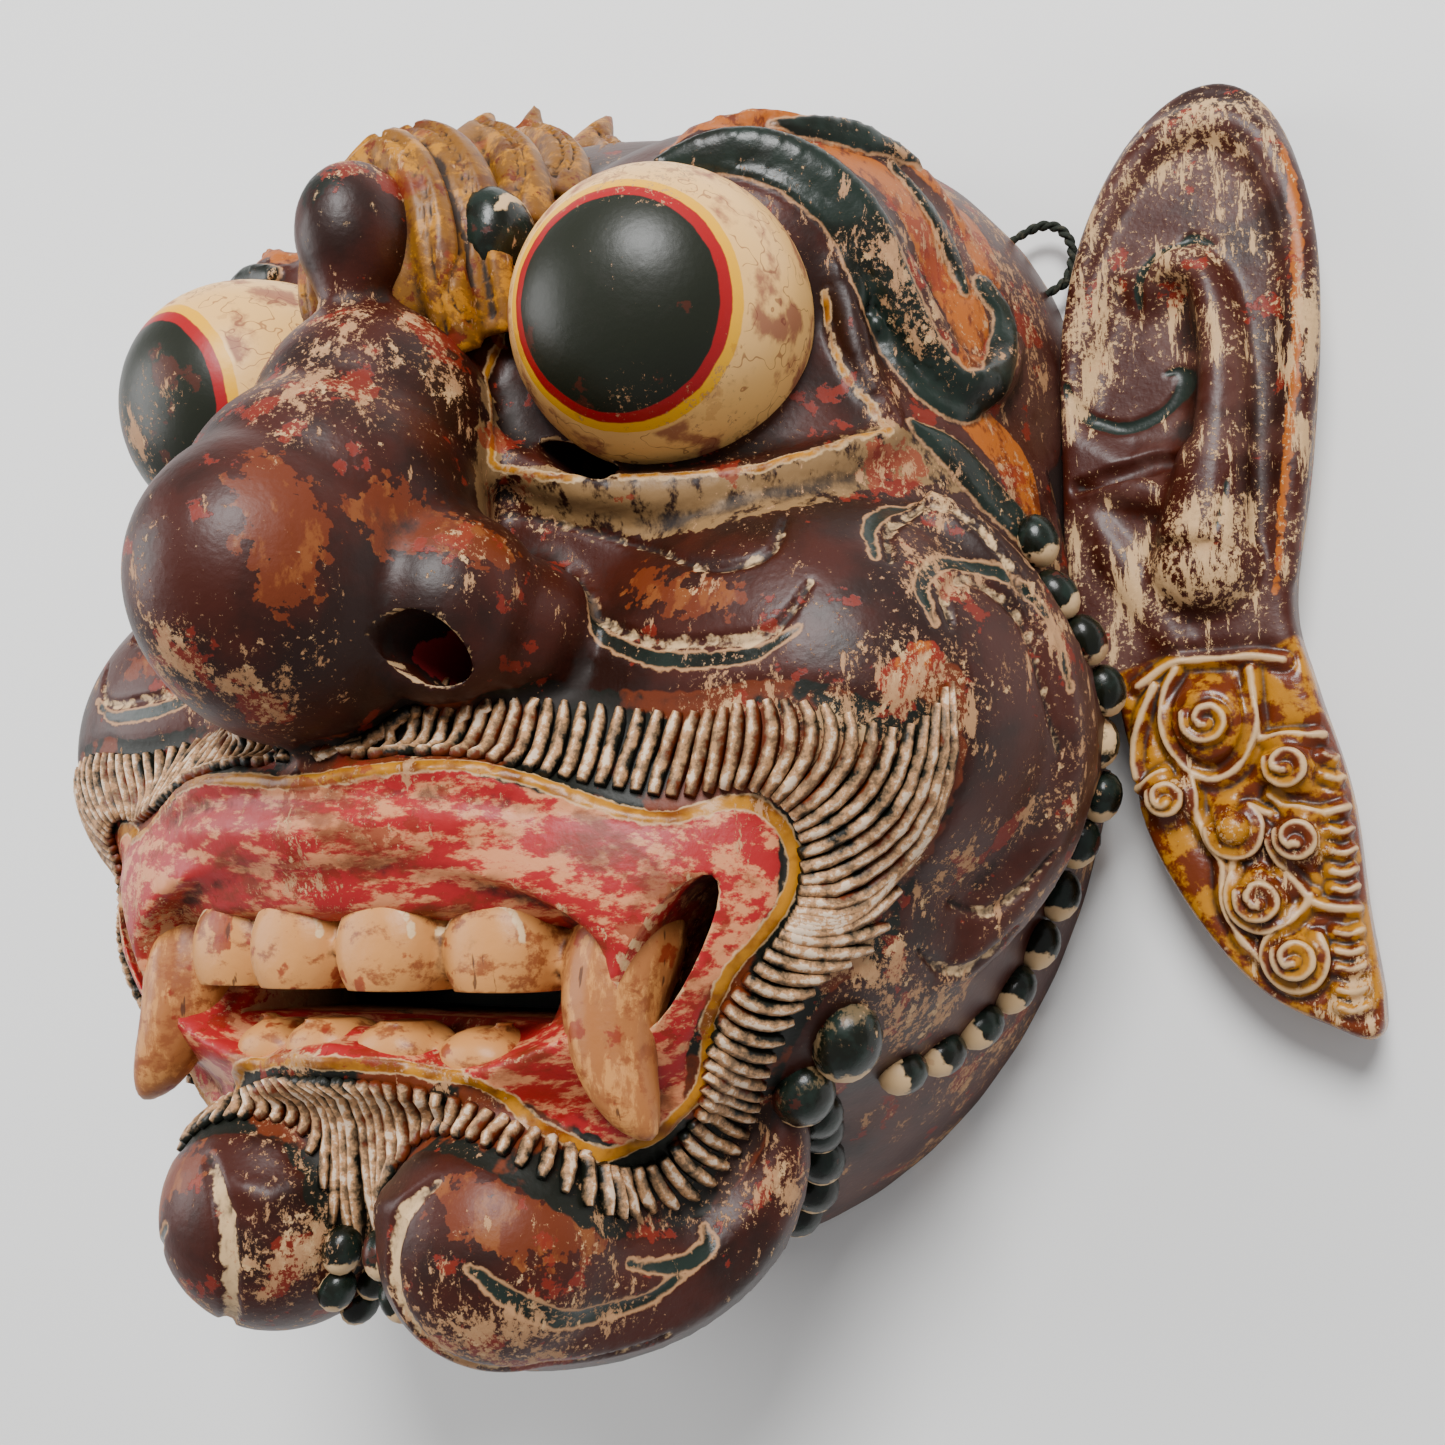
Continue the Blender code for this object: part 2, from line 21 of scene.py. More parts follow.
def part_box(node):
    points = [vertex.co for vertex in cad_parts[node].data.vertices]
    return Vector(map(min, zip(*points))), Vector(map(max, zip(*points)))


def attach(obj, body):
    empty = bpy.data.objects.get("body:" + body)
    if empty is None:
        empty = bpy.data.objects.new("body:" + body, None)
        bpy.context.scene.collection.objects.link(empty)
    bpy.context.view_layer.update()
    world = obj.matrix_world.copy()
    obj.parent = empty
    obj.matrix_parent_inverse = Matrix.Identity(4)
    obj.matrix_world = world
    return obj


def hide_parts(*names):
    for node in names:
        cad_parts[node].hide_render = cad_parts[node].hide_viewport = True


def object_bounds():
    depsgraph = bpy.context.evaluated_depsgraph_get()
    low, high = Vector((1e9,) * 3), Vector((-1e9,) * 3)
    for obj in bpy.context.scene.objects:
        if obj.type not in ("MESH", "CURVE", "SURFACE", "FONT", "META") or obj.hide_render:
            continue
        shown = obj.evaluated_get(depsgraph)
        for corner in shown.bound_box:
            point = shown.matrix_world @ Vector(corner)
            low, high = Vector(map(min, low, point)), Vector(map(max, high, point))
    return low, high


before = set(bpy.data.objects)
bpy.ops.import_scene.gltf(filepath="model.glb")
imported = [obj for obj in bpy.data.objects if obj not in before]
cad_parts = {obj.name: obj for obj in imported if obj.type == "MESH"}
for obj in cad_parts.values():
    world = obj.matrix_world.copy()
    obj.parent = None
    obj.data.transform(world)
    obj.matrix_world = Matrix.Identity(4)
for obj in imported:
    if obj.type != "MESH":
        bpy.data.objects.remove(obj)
cad_low, cad_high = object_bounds()
bpy.ops.object.select_all(action="DESELECT")
print("solids:", ", ".join(sorted(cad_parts)))

# %% [markdown]
# The carver's layout divides the height of the head into 234 parts. Every place below is given in those
# parts, from the middle of the rim that the mask lies on: x to the viewer's right, y up the face and z out
# of it. One part comes out as one millimetre here, and it is read from the frame and not typed again.

# %% One part of the carver's layout
LAYOUT_HEIGHT = 234
head_low, head_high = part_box("mask_head")
PART = round((head_high.y - head_low.y) / LAYOUT_HEIGHT, 5)


def layout(x, y, z=0.0):
    """A place in the carver's layout, as metres."""
    return Vector((x, y, z)) * PART


def mirrored(place, side=-1):
    return (place[0] * side, *place[1:])


print(f"one part is {PART * 1000:.2f} mm")

# %% [markdown]
# The camera stands where the photographer stood, in front of the face, to its right and a little below,
# and looks down on the mask where it lies. Its place and its turn were worked out from pairs of like points
# on the two halves of the face, which is the same left and right.

# %% Camera
PHOTO_SIDE = 1445
FOCAL_PIXELS = 1500
SENSOR = 36.0
CAMERA_PLACE = (0.164835, -0.0475, 0.270171)
CAMERA_RIGHT = (0.87420808, -0.00666589, -0.48550572)
CAMERA_UP = (0.06423781, 0.99270428, 0.10203782)

right, up = Vector(CAMERA_RIGHT), Vector(CAMERA_UP)
back = right.cross(up)
bpy.ops.object.camera_add()
camera = bpy.context.object
camera.name = "camera"
turn = Matrix((right, up, back)).transposed().to_4x4()
camera.matrix_world = Matrix.Translation(CAMERA_PLACE) @ turn
camera.data.sensor_width = SENSOR
camera.data.lens = SENSOR * FOCAL_PIXELS / PHOTO_SIDE
camera.data.clip_start = 0.01
bpy.context.scene.camera = camera
print(f"lens {camera.data.lens:.1f} mm")

# %% [markdown]
# A few hands' moves come back again and again: taking hold of a piece, applying its modifiers, adding an
# egg, sweeping a ridge, and joining forms into one skin. Each becomes a short helper.

# %% Helpers for handling pieces
def hold(*pieces):
    """Selects only these pieces, and makes the first one active."""
    bpy.ops.object.select_all(action="DESELECT")
    for piece in pieces:
        piece.select_set(True)
    bpy.context.view_layer.objects.active = pieces[0]


def settle(piece):
    """Applies the piece's modifiers, from the top."""
    hold(piece)
    for modifier in list(piece.modifiers):
        bpy.ops.object.modifier_apply(modifier=modifier.name)
    return piece


def joined(forms, name):
    hold(*forms)
    if len(forms) > 1:
        bpy.ops.object.join()
    forms[0].name = forms[0].data.name = name
    return forms[0]


def discard(piece):
    hold(piece)
    bpy.ops.object.delete()


def count(piece):
    """Prints how many triangles a finished piece has."""
    triangles = sum(len(face.vertices) - 2 for face in piece.data.polygons)
    print(f"{piece.name}: {triangles} triangles")
    return triangles


# %% Helpers for eggs, ridges and skins
WELD = 0.00002


def egg(name, centre, halves, fullness=2.0, swing=(0, 0, 0), across=32):
    """A closed egg form. Fullness squares its side view, and swing turns it about X, Y and Z, in degrees."""
    bpy.ops.mesh.primitive_uv_sphere_add(segments=across, ring_count=across // 2, radius=1)
    form = bpy.context.object
    form.name = name
    swung = Euler([math.radians(angle) for angle in swing], "XYZ").to_matrix()
    for corner in form.data.vertices:
        out = corner.co.normalized()
        flat = math.hypot(out.x, out.y)
        swell = (flat**fullness + abs(out.z) ** fullness) ** (-1 / fullness)
        stretched = Vector((out.x * halves[0], out.y * halves[1], out.z * halves[2])) * swell
        corner.co = layout(*(Vector(centre) + swung @ stretched))
    return form


def welded():
    """Merges the doubled corners of the piece that is held, and returns it."""
    bpy.ops.object.mode_set(mode="EDIT")
    bpy.ops.mesh.select_all(action="SELECT")
    bpy.ops.mesh.remove_doubles(threshold=WELD)
    bpy.ops.object.mode_set(mode="OBJECT")
    return bpy.context.object


def ridge(name, places, sides=2):
    """A rounded ridge swept through (x, y, z, half width) places of the layout."""
    bpy.ops.curve.primitive_nurbs_path_add()
    curve = bpy.context.object
    curve.name = name
    line = curve.data
    line.bevel_depth = PART
    line.bevel_resolution = sides
    line.use_fill_caps = True
    line.resolution_u = 6
    line.splines.clear()
    spline = line.splines.new("NURBS")
    spline.points.add(len(places) - 1)
    spline.order_u = 4
    spline.use_endpoint_u = True
    for point, (x, y, z, half) in zip(spline.points, places):
        point.co = (*layout(x, y, z), 1)
        point.radius = half
    hold(curve)
    bpy.ops.object.convert(target="MESH")
    return welded()


def fused(piece, cell, smoothing):
    """One skin over overlapping forms, softened as a worn carving is."""
    remesh = piece.modifiers.new("one skin", "REMESH")
    remesh.mode = "VOXEL"
    remesh.voxel_size = cell * PART
    worn = piece.modifiers.new("worn", "SMOOTH")
    worn.factor = 0.5
    worn.iterations = smoothing
    return settle(piece)


def cut(piece, cutter):
    """Takes the cutter's volume away from the piece, and throws the cutter away."""
    boolean = piece.modifiers.new("cut", "BOOLEAN")
    boolean.operation = "DIFFERENCE"
    boolean.solver = "MANIFOLD"
    boolean.object = cutter
    settle(piece)
    discard(cutter)


def block(low, high):
    """A box between two corners of the layout, for cutting."""
    low, high = Vector(low) * PART, Vector(high) * PART
    bpy.ops.mesh.primitive_cube_add(size=1, location=(low + high) / 2)
    bpy.context.object.scale = high - low
    bpy.ops.object.transform_apply(location=True, rotation=False, scale=True)
    return bpy.context.object


def bearer(piece):
    """A search tree of the piece's surface, to place other things on."""
    return BVHTree.FromObject(piece, bpy.context.evaluated_depsgraph_get())


def onto(skin, place, proud=0.0):
    """The nearest place on a surface, raised by so many parts, and the way out of it there."""
    spot, normal, _, _ = skin.find_nearest(layout(*place[:3]))
    return spot / PART + normal * proud, normal


# %% [markdown]
# The tie cord is a loop of two dark plies laid round each other. Its ends go into two holes in the rim
# behind the right ear. The real loop could be one smooth tube with a twisted bump, but plies that truly
# wind round each other catch the light as cord does, and they are cheap at this size.

# %% Tie cord
CORD_THICKNESS = 2.2
TIE_ROUTE = ((78, 76, 5), (84.5, 78.5, 5), (87.5, 79, 5), (90.3, 78, 5), (92.3, 75.5, 5), (93, 72.5, 5),
             (92.6, 69.5, 5), (91.5, 67.4, 5), (89.8, 66.2, 5), (83, 64, 5))
TWIST_PITCH = 4.2
PLY_SHARE, PLY_OFFSET = 0.5, 0.24


def smooth_line(places, steps=4):
    """A smooth line through places, with so many steps between each two. Widths are carried along."""
    places = np.array(places, float)
    ends = np.vstack([2 * places[0] - places[1], places, 2 * places[-1] - places[-2]])
    found = []
    for before, start, end, after in zip(ends, ends[1:], ends[2:], ends[3:]):
        for t in np.arange(steps) / steps:
            found.append(0.5 * (2 * start + (end - before) * t
                                + (2 * before - 5 * start + 4 * end - after) * t * t
                                + (3 * start - before - 3 * end + after) * t**3))
    return np.array([*found, places[-1]])


cord_line = smooth_line(TIE_ROUTE, 5)
plies = []
for ply in (0, math.pi):
    gone = 0.0
    places = []
    for index, here in enumerate(cord_line):
        ahead = cord_line[min(index + 1, len(cord_line) - 1)] - cord_line[max(index - 1, 0)]
        across = Vector(ahead).cross(Vector((0, 0, 1))).normalized()
        if index:
            gone += float(np.linalg.norm(here - cord_line[index - 1]))
        angle = ply + 2 * math.pi * gone / TWIST_PITCH
        around = across * math.cos(angle) + Vector((0, 0, 1)) * math.sin(angle)
        offset = around * CORD_THICKNESS * PLY_OFFSET
        places.append((*(Vector(here) + offset), CORD_THICKNESS / 2 * PLY_SHARE))
    plies.append(ridge("ply", places))
tie_cord = joined(plies, "tie_cord")
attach(tie_cord, "root")
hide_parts("tie_loop")

# %% [markdown]
# The head starts as a bare block: skull, muzzle and chin, with paired bones for temples, cheeks and brows.
# Egg forms pushed into each other give the masses, and one voxel skin melts them together. A hand carver
# works the same way round, from masses to lines.

# %% Bare head
SKULL = ((0, -4, 0), (97, 113, 80), 2.5)
MUZZLE = ((0, -46, 22), (87, 50, 80), 2.5)
CHIN = ((0, -84, 58), (52, 27, 31), 2.3)
PAIRED_BONES = (
    ((30, 42, 0), (63, 63, 62), 2.3),
    ((56, -17, 34), (45, 39, 52), 2.5),
    ((38, 62, 26), (43, 31, 46), 2.2),
)
ROUGH_CELL, FINE_CELL = 2.4, 1.55

masses = [egg("mass", *form, across=48) for form in (SKULL, MUZZLE, CHIN)]
for side in (1, -1):
    for centre, halves, fullness in PAIRED_BONES:
        masses.append(egg("bone", mirrored(centre, side), halves, fullness))
head = fused(joined(masses, "head"), ROUGH_CELL, 6)
count(head)

# %% [markdown]
# On the bare head stand the features. The nose is one heavy drop, the bulb of the forehead a smaller one,
# and lids, brows, lobes and lips are ridges that swell and taper along their length. A ridge is a curve
# with a round section whose radius changes from place to place, which is how a gouge leaves a moulding.

# %% Features of the face
NOSE_FORMS = (
    ((0, 1, 104), (22, 25, 29)),
    ((0, 12, 98), (24, 24, 24.5)),
    ((0, 24, 89), (20.5, 27, 22)),
    ((0, 61, 94), (9.5, 12.5, 11.5)),
)
BULB_TIP = ((0, 57, 96, 8), (0, 50, 97, 5.5), (0, 44, 97, 1.5))
NOSTRIL_WINGS = (((20.5, -3, 95), (15, 15.5, 15)), ((23, -6, 84), (15.5, 13.5, 16)))
CHIN_BALL = ((23, -96.5, 81), (20, 19.5, 20.5))
LID = ((14, 50, 77, 2), (11, 36, 80, 2.6), (15, 26, 81, 3.2), (30, 18.5, 79, 3.4), (46, 15.5, 76, 3.6),
       (60, 18, 69, 3.6), (70, 22, 61, 3.2), (78, 27, 53, 1.5))
UPPER_LID = ((24, 70, 74, 1), (44, 76, 66, 2.5), (60, 70, 61, 3), (68, 58, 57, 3), (70, 46, 55, 3),
             (72, 36, 55, 2.5), (77, 28, 52, 1.5))
BROW = ((42, 73, 70, 2), (52, 77, 66, 4), (63, 74, 60, 5), (71, 65, 54, 5), (76, 52, 48, 5),
        (80, 41, 43, 4.5), (86, 36.5, 36, 3.5), (88, 43, 29, 3), (86, 51, 25, 3))
BROW_EDGE = ((44, 77, 67, 2), (55, 81, 60, 3), (66, 82, 48, 3), (74, 79, 35, 3), (79, 71, 27, 3),
             (82, 60, 27, 2))
CHEEK_LOBE = ((82, 14, 58, 3), (88, 8, 54, 6), (92, -3, 49, 9), (94, -17, 42, 11.5), (91, -32, 38, 11.5),
              (85, -46, 39, 9), (77, -57, 46, 7), (70, -65, 55, 4))
CHIN_LOBE = ((15, -85, 92, 10), (21, -97, 85, 20), (32, -104, 71, 15), (44, -102, 60, 11),
             (54, -92, 55, 8), (59, -79, 58, 3))
LIP_EDGE = ((0, -29, 103, 3), (22, -26, 101, 3), (38, -31, 94, 3), (52, -35, 86, 3),
            (62, -33, 80, 3), (68, -38, 76, 3), (66, -50, 76, 3), (59, -62, 78, 3),
            (55, -72, 75, 3), (46, -81, 74, 3.4), (34, -84, 80, 3.4), (26, -77, 86, 3.4),
            (14, -72, 92, 3.4), (0, -71, 95, 3.4))
UPPER_LIP = ((0, -36, 99, 7.5), (20, -34, 97, 7.5), (38, -37, 90, 6.5), (52, -40, 82, 5), (62, -38, 77, 4))
LIP_ROLL = ((0, -44, 96, 6), (20, -43, 94, 6), (38, -46, 86, 6), (50, -47, 79, 4), (60, -44, 74, 3))
LOWER_LIP = ((0, -71, 88, 5.5), (18, -72, 86, 5.5), (30, -77, 78, 5.5), (42, -78, 72, 4), (52, -70, 73, 3))
MOUTH_CORNER = ((68, -42, 72, 4.5), (63, -54, 72, 4.5), (57, -65, 72, 4.5), (50, -76, 69, 4))
RIDGES = (LID, UPPER_LID, BROW, BROW_EDGE, CHEEK_LOBE, CHIN_LOBE, LIP_EDGE, UPPER_LIP, LIP_ROLL, LOWER_LIP,
          MOUTH_CORNER)
MOUTH_POCKET = ((0, -57, 104), (50, 17, 28), 2.6)
SCALLOP_PITCH, SCALLOP, EDGE_CROWN = 2.1, 1.5, 0.6

cut(head, egg("mouth_pocket", *MOUTH_POCKET))
features = [egg("nose", *form) for form in NOSE_FORMS]
features.append(ridge("bulb_tip", BULB_TIP, 4))
for side in (1, -1):
    balls = (*NOSTRIL_WINGS, CHIN_BALL)
    features += [egg("ball", mirrored(centre, side), halves) for centre, halves in balls]
    features += [ridge("ridge", [mirrored(place, side) for place in places]) for places in RIDGES]
crown = [(x, y + half * EDGE_CROWN, z + half * EDGE_CROWN) for x, y, z, half in BROW_EDGE]
edge_line = smooth_line(crown, 12)
last = edge_line[0]
for here in edge_line:
    if np.linalg.norm(here - last) >= SCALLOP_PITCH:
        last = here
        features += [egg("scallop", mirrored(here, side), (SCALLOP,) * 3, across=8) for side in (1, -1)]
head = fused(joined([head, *features], "head"), FINE_CELL, 2)
count(head)

# %% [markdown]
# The wearer's side is a plain hollow behind the face, with a flat rim that the mask lies on. The mouth is
# open between the teeth and at its corners, a narrow slit under each eyeball lets the wearer see out, and
# the nostrils are bored through. Cutters shaped as eggs and blocks take the wood away, as an adze would.

# %% Hollow, rim and openings
RIM_WALL, FACE_WALL = 11, 16
MOUTH_LINE, MOUTH_HALF_WIDTH, MOUTH_GAP = -62.5, 32, 5
MOUTH_BACK, MOUTH_FRONT = 40, 130
SLIT_HEIGHT = 5
NOSTRIL_WIDTH, NOSTRIL_HEIGHT = 12.5, 11
OPENINGS = {
    "corner_gap": ((54.5, -54.5, 75), (4, 13, 40), 2.6, -30, 24),
    "eye_slit": ((32, 23, 75), (9, SLIT_HEIGHT / 2, 45), 2.6, -28, 24),
    "nostril": ((24.5, -10.5, 92), (NOSTRIL_WIDTH / 2, NOSTRIL_HEIGHT / 2, 40), 2.0, -15, 32),
}
SEAT_X, SEAT_LOW, SEAT_HIGH = 91.5, (-24, -4), (61, 21)
FAR = 260


def mouth_gap(half_width):
    """The block that opens the mouth between the rows of teeth."""
    return block((-half_width, MOUTH_LINE - MOUTH_GAP / 2, MOUTH_BACK),
                 (half_width, MOUTH_LINE + MOUTH_GAP / 2, MOUTH_FRONT))


skull_centre, skull_halves, skull_fullness = SKULL
hollow_halves = (skull_halves[0] - RIM_WALL, skull_halves[1] - RIM_WALL, skull_halves[2] - FACE_WALL)
cut(head, block((-FAR, -FAR, -FAR), (FAR, FAR, 0)))
cut(head, egg("hollow", skull_centre, hollow_halves, skull_fullness, across=96))
cut(head, mouth_gap(MOUTH_HALF_WIDTH))
for side in (1, -1):
    for name, (centre, halves, fullness, lean, across) in OPENINGS.items():
        cut(head, egg(name, mirrored(centre, side), halves, fullness, (0, 0, lean * side), across))
    ends = sorted([SEAT_X * side, FAR * side])
    cut(head, block((ends[0], *SEAT_LOW), (ends[1], *SEAT_HIGH)))
count(head)

# %% [markdown]
# What is carved as a line and painted as a line is stored as a stroke: places on the skin with a half width
# at each. For every corner of the mesh, a field says how far inside the nearest stroke it lies. The same
# field drives the gouge and the brush, so carving and paint always meet. The two halves of the face are
# alike, so a stroke is given once and the field looks at how far a corner is from the middle line.

# %% Strokes on the skin
NOWHERE = -9.0


def corners_of(piece):
    """The corners of a piece in layout parts, with the left half folded onto the right."""
    places = np.empty(len(piece.data.vertices) * 3)
    piece.data.vertices.foreach_get("co", places)
    places = places.reshape(-1, 3) / PART
    places[:, 0] = abs(places[:, 0])
    return places


def stroke_field(corners, strokes, skin=None, steps=4):
    """How far inside the nearest stroke each corner is, in parts. Outside them all it is negative."""
    field = np.full(len(corners), NOWHERE)
    for places in strokes:
        line = smooth_line(places, steps)
        if skin:
            line = np.array([(*onto(skin, here)[0], here[3]) for here in line])
        reach = 4 + line[:, 3].max()
        near = np.all((corners > line[:, :3].min(0) - reach) & (corners < line[:, :3].max(0) + reach), axis=1)
        close = corners[near]
        best = field[near]
        for start, end in zip(line, line[1:]):
            run = end[:3] - start[:3]
            share = np.clip((close - start[:3]) @ run / max(run @ run, 1e-9), 0, 1)
            away = np.linalg.norm(close - start[:3] - share[:, None] * run, axis=1)
            best = np.maximum(best, start[3] + (end[3] - start[3]) * share - away)
        field[near] = best
    return field


def patch_field(corners, outline, lowest):
    """How far inside a closed outline each corner is, seen from the front, above a lowest height."""
    ring = np.array([place[:2] for place in outline], float)
    inside = np.zeros(len(corners), bool)
    away = np.full(len(corners), -NOWHERE)
    for start, end in zip(ring, np.roll(ring, -1, axis=0)):
        x, y = corners[:, 0], corners[:, 1]
        crosses = (start[1] > y) != (end[1] > y)
        rise = end[1] - start[1] if end[1] != start[1] else 1e-9
        inside ^= crosses & (x < (end[0] - start[0]) * (y - start[1]) / rise + start[0])
        run = end - start
        share = np.clip((corners[:, :2] - start) @ run / max(run @ run, 1e-9), 0, 1)
        away = np.minimum(away, np.linalg.norm(corners[:, :2] - start - share[:, None] * run, axis=1))
    field = np.where(inside, away, -away)
    field[corners[:, 2] < lowest] = NOWHERE
    return field


def stored(piece, name, values):
    """Keeps one value for each corner of a piece, for its material to read."""
    attribute = piece.data.attributes.get(name) or piece.data.attributes.new(name, "FLOAT", "POINT")
    attribute.data.foreach_set("value", np.asarray(values, np.float32))


# %% The lines of the face
LIP_LINE = ((0, -29, 106), (11, -28, 105), (23, -27, 102), (34, -28, 99), (41, -31, 95), (49, -34, 92),
            (55, -35, 89), (59, -34, 86), (64, -33, 83), (68, -35, 81), (70, -41, 78), (69, -47, 79),
            (66, -52, 81), (62, -57, 83), (58, -64, 82), (56, -70, 79), (53, -76, 78), (46, -82, 79),
            (39, -84, 81), (32, -80, 86), (28, -76, 89), (23, -73, 92), (13, -71, 95), (0, -71, 98))
LID_LINE = ((14, 52, 73), (14, 39, 80), (14, 29, 85), (16, 25, 84), (21, 22, 84), (33, 19, 81), (44, 18, 78),
            (53, 18, 75), (61, 19, 70), (68, 22, 64), (76, 26, 55))
UPPER_LID_LINE = ((76, 26, 55), (73, 32, 55), (70, 36, 56), (67, 44, 55), (67, 51, 58))


def even(places, half):
    return [(*place, half) for place in places]


GOLD = [even(LIP_LINE, 1.0), even(LID_LINE, 0.55), even(UPPER_LID_LINE, 0.5)]
CREAM = [
    ((18, 16, 79, 0.3), (29, 13, 78, 0.7), (43, 8, 76, 0.7), (57, 2, 82, 0.8), (65, 2, 81, 0.9),
     (68, 5, 79, 0.8), (67, 10, 74, 0.3)),
    ((29, 1, 78, 0.4), (39, -4, 82, 1.0), (50, -9, 85, 1.2), (59, -10, 85, 1.2), (67, -10, 85, 1.2),
     (71, -8, 83, 1.0), (74, -2, 80, 0.4)),
    ((83, 2, 72, 0.6), (81, 8, 67, 1.2), (82, 12, 60, 1.2), (86, 12, 58, 1.1), (91, 8, 56, 1),
     (96, 1, 55, 0.8), (99, -8, 53, 0.5)),
    ((91, -8, 69, 0.6), (90, -3, 68, 1.2), (91, 0, 63, 1.2), (94, -1, 59, 1.1), (97, -6, 55, 1),
     (99, -15, 53, 0.8), (100, -25, 48, 0.5)),
    ((83, -47, 53, 0.5), (87, -49, 48, 1.1), (92, -46, 45, 1.1), (97, -40, 43, 0.4)),
    ((79, -54, 57, 0.5), (82, -58, 50, 1.3), (87, -57, 45, 1.3), (91, -52, 42, 0.4)),
    ((23, -86, 99, 0.7), (19, -90, 100, 1.8), (17, -96, 99, 2), (18, -103, 96, 1.8), (22, -109, 92, 1.6),
     (29, -112, 87, 1.5), (37, -113, 80, 1.2), (45, -111, 72, 0.6)),
]
GREEN = [
    ((44, 73, 72, 1.8), (54, 74, 69, 3.9), (64, 71, 64, 4.9), (72, 63, 58, 5), (75, 52, 53, 4.7),
     (78, 42, 48, 4.6), (82, 36, 43, 4.4), (87, 36, 39, 3.8), (88, 44, 33, 2.6), (87, 53, 28, 2.4),
     (84, 58, 30, 2.6)),
    ((58, 81, 59, 0.8), (65, 82, 52, 2.6), (71, 82, 44, 2.6), (75, 80, 37, 0.8)),
    ((72, 78, 42, 0.8), (77, 71, 39, 2), (80, 64, 36, 2.2), (82, 56, 35, 0.8)),
    ((78, 29, 50, 1), (83, 25, 45, 3), (87, 19, 40, 3.4), (91, 14, 34, 3), (93, 9, 30, 1)),
    # The next three strokes are painted shadow: dark green lines laid just below three cream marks, where
    # each mark's shade falls.
    ((29, -2, 78, 0.4), (39, -6.6, 82, 0.9), (50, -11.4, 85, 1.1), (59, -12.6, 85, 1.1), (67, -12.4, 84, 0.9),
     (73, -9, 82, 0.4)),
    ((81, 2, 73, 0.4), (78.5, 8, 69, 1), (79.5, 14, 60, 1.2), (84, 15, 56, 1), (91, 11.5, 53, 0.9),
     (97, 4, 50, 0.5)),
    ((89, -8, 71, 0.4), (87.5, -2, 71, 1), (88.5, 2.5, 65, 1.2), (94, 2, 57, 1), (99, -5, 51, 0.8),
     (101, -15, 48, 0.5)),
    ((29, -97, 97, 0.6), (33, -101, 93, 1.3), (38, -105, 87, 1.4), (45, -105, 78, 0.9), (49, -102, 74, 0.6)),
    ((44, -99, 80, 0.5), (48, -100, 74, 1.1), (51, -98, 70, 1.1), (50, -95, 69, 0.5)),
]
ORANGE = [
    ((50, 80, 66, 2), (60, 80, 60, 4), (72, 74, 48, 5), (79, 62, 40, 5), (84, 50, 36, 4.5), (85, 42, 40, 4)),
    [(x, y + 1, z, half + 1.3) for x, y, z, half in BROW_EDGE],
    ((86, 32, 38, 4), (89, 26, 32, 5), (90, 19, 30, 3.5)),
]
GREY = [
    ((11, 34, 84, 2.5), (13, 24, 86, 3.2), (19, 16, 88, 4.2), (30, 14, 82, 4.8), (44, 13, 79, 4.8),
     (61, 14, 71, 4.8), (70, 18, 64, 4.6), (77, 23, 56, 5), (83, 22, 46, 4)),
]
WORN = [
    ((11, 12, 124, 4), (13, 4, 122, 6), (12, -3, 121, 4)),
    ((16, 8, 108, 5), (22, 5, 104, 5), (30, 2, 98, 3)),
    ((46, 2, 82, 2.5), (54, -3, 82, 3), (62, -4, 81, 2.5)),
    ((26, -88, 99, 3), (33, -92, 95, 5), (40, -93, 88, 4)),
]
FLOWER = [((0, 65, 105, 2.6), (3, 67, 104, 2))]
FLESH = [((17.5, -10.5, 99, 2), (17, -10.5, 90, 5.5), (17, -10.5, 80, 6))]
RED = [((86, -17, 77, 3), (89, -14, 74, 3.4)), ((70, -24, 85, 2.5), (74, -24, 84, 2))]

# %% [markdown]
# Around the strokes the skin is divided again, so that a line one part wide still has a clean edge. Then the
# gouge goes in: cream and green lines are shallow furrows, the gold lines a narrow raised bead.

# %% Carve the lines
FINE_REACH = 1.6
CREAM_DEPTH, GREEN_DEPTH, GOLD_RISE = 0.8, 0.35, 0.35
BAND_RISE, BAND_GROOVE = 1.2, 0.5
BROW_BANDS = slice(0, 4)
LINE_SHARE = 0.75


def divided(piece, chosen):
    """Cuts every chosen face of the piece into four."""
    hold(piece)
    bpy.ops.object.mode_set(mode="EDIT")
    bpy.ops.mesh.select_all(action="DESELECT")
    bpy.ops.object.mode_set(mode="OBJECT")
    piece.data.polygons.foreach_set("select", chosen)
    bpy.ops.object.mode_set(mode="EDIT")
    bpy.ops.mesh.select_mode(type="FACE")
    bpy.ops.mesh.subdivide(number_cuts=1, smoothness=0.0)
    bpy.ops.object.mode_set(mode="OBJECT")


def faces_near(piece, field, reach):
    """Which faces have a corner within reach of a stroke."""
    loops = np.empty(len(piece.data.loops), np.int32)
    piece.data.loops.foreach_get("vertex_index", loops)
    starts = np.empty(len(piece.data.polygons), np.int32)
    piece.data.polygons.foreach_get("loop_start", starts)
    return np.maximum.reduceat(field[loops], starts) > -reach


def moved(piece, along_normal):
    """Moves every corner of the piece along its normal, by so many parts."""
    normals = np.empty(len(piece.data.vertices) * 3, np.float32)
    piece.data.vertices.foreach_get("normal", normals)
    places = np.empty(len(piece.data.vertices) * 3, np.float32)
    piece.data.vertices.foreach_get("co", places)
    shift = np.repeat(np.asarray(along_normal) * PART, 3).astype(np.float32)
    piece.data.vertices.foreach_set("co", places + normals * shift)
    piece.data.update()


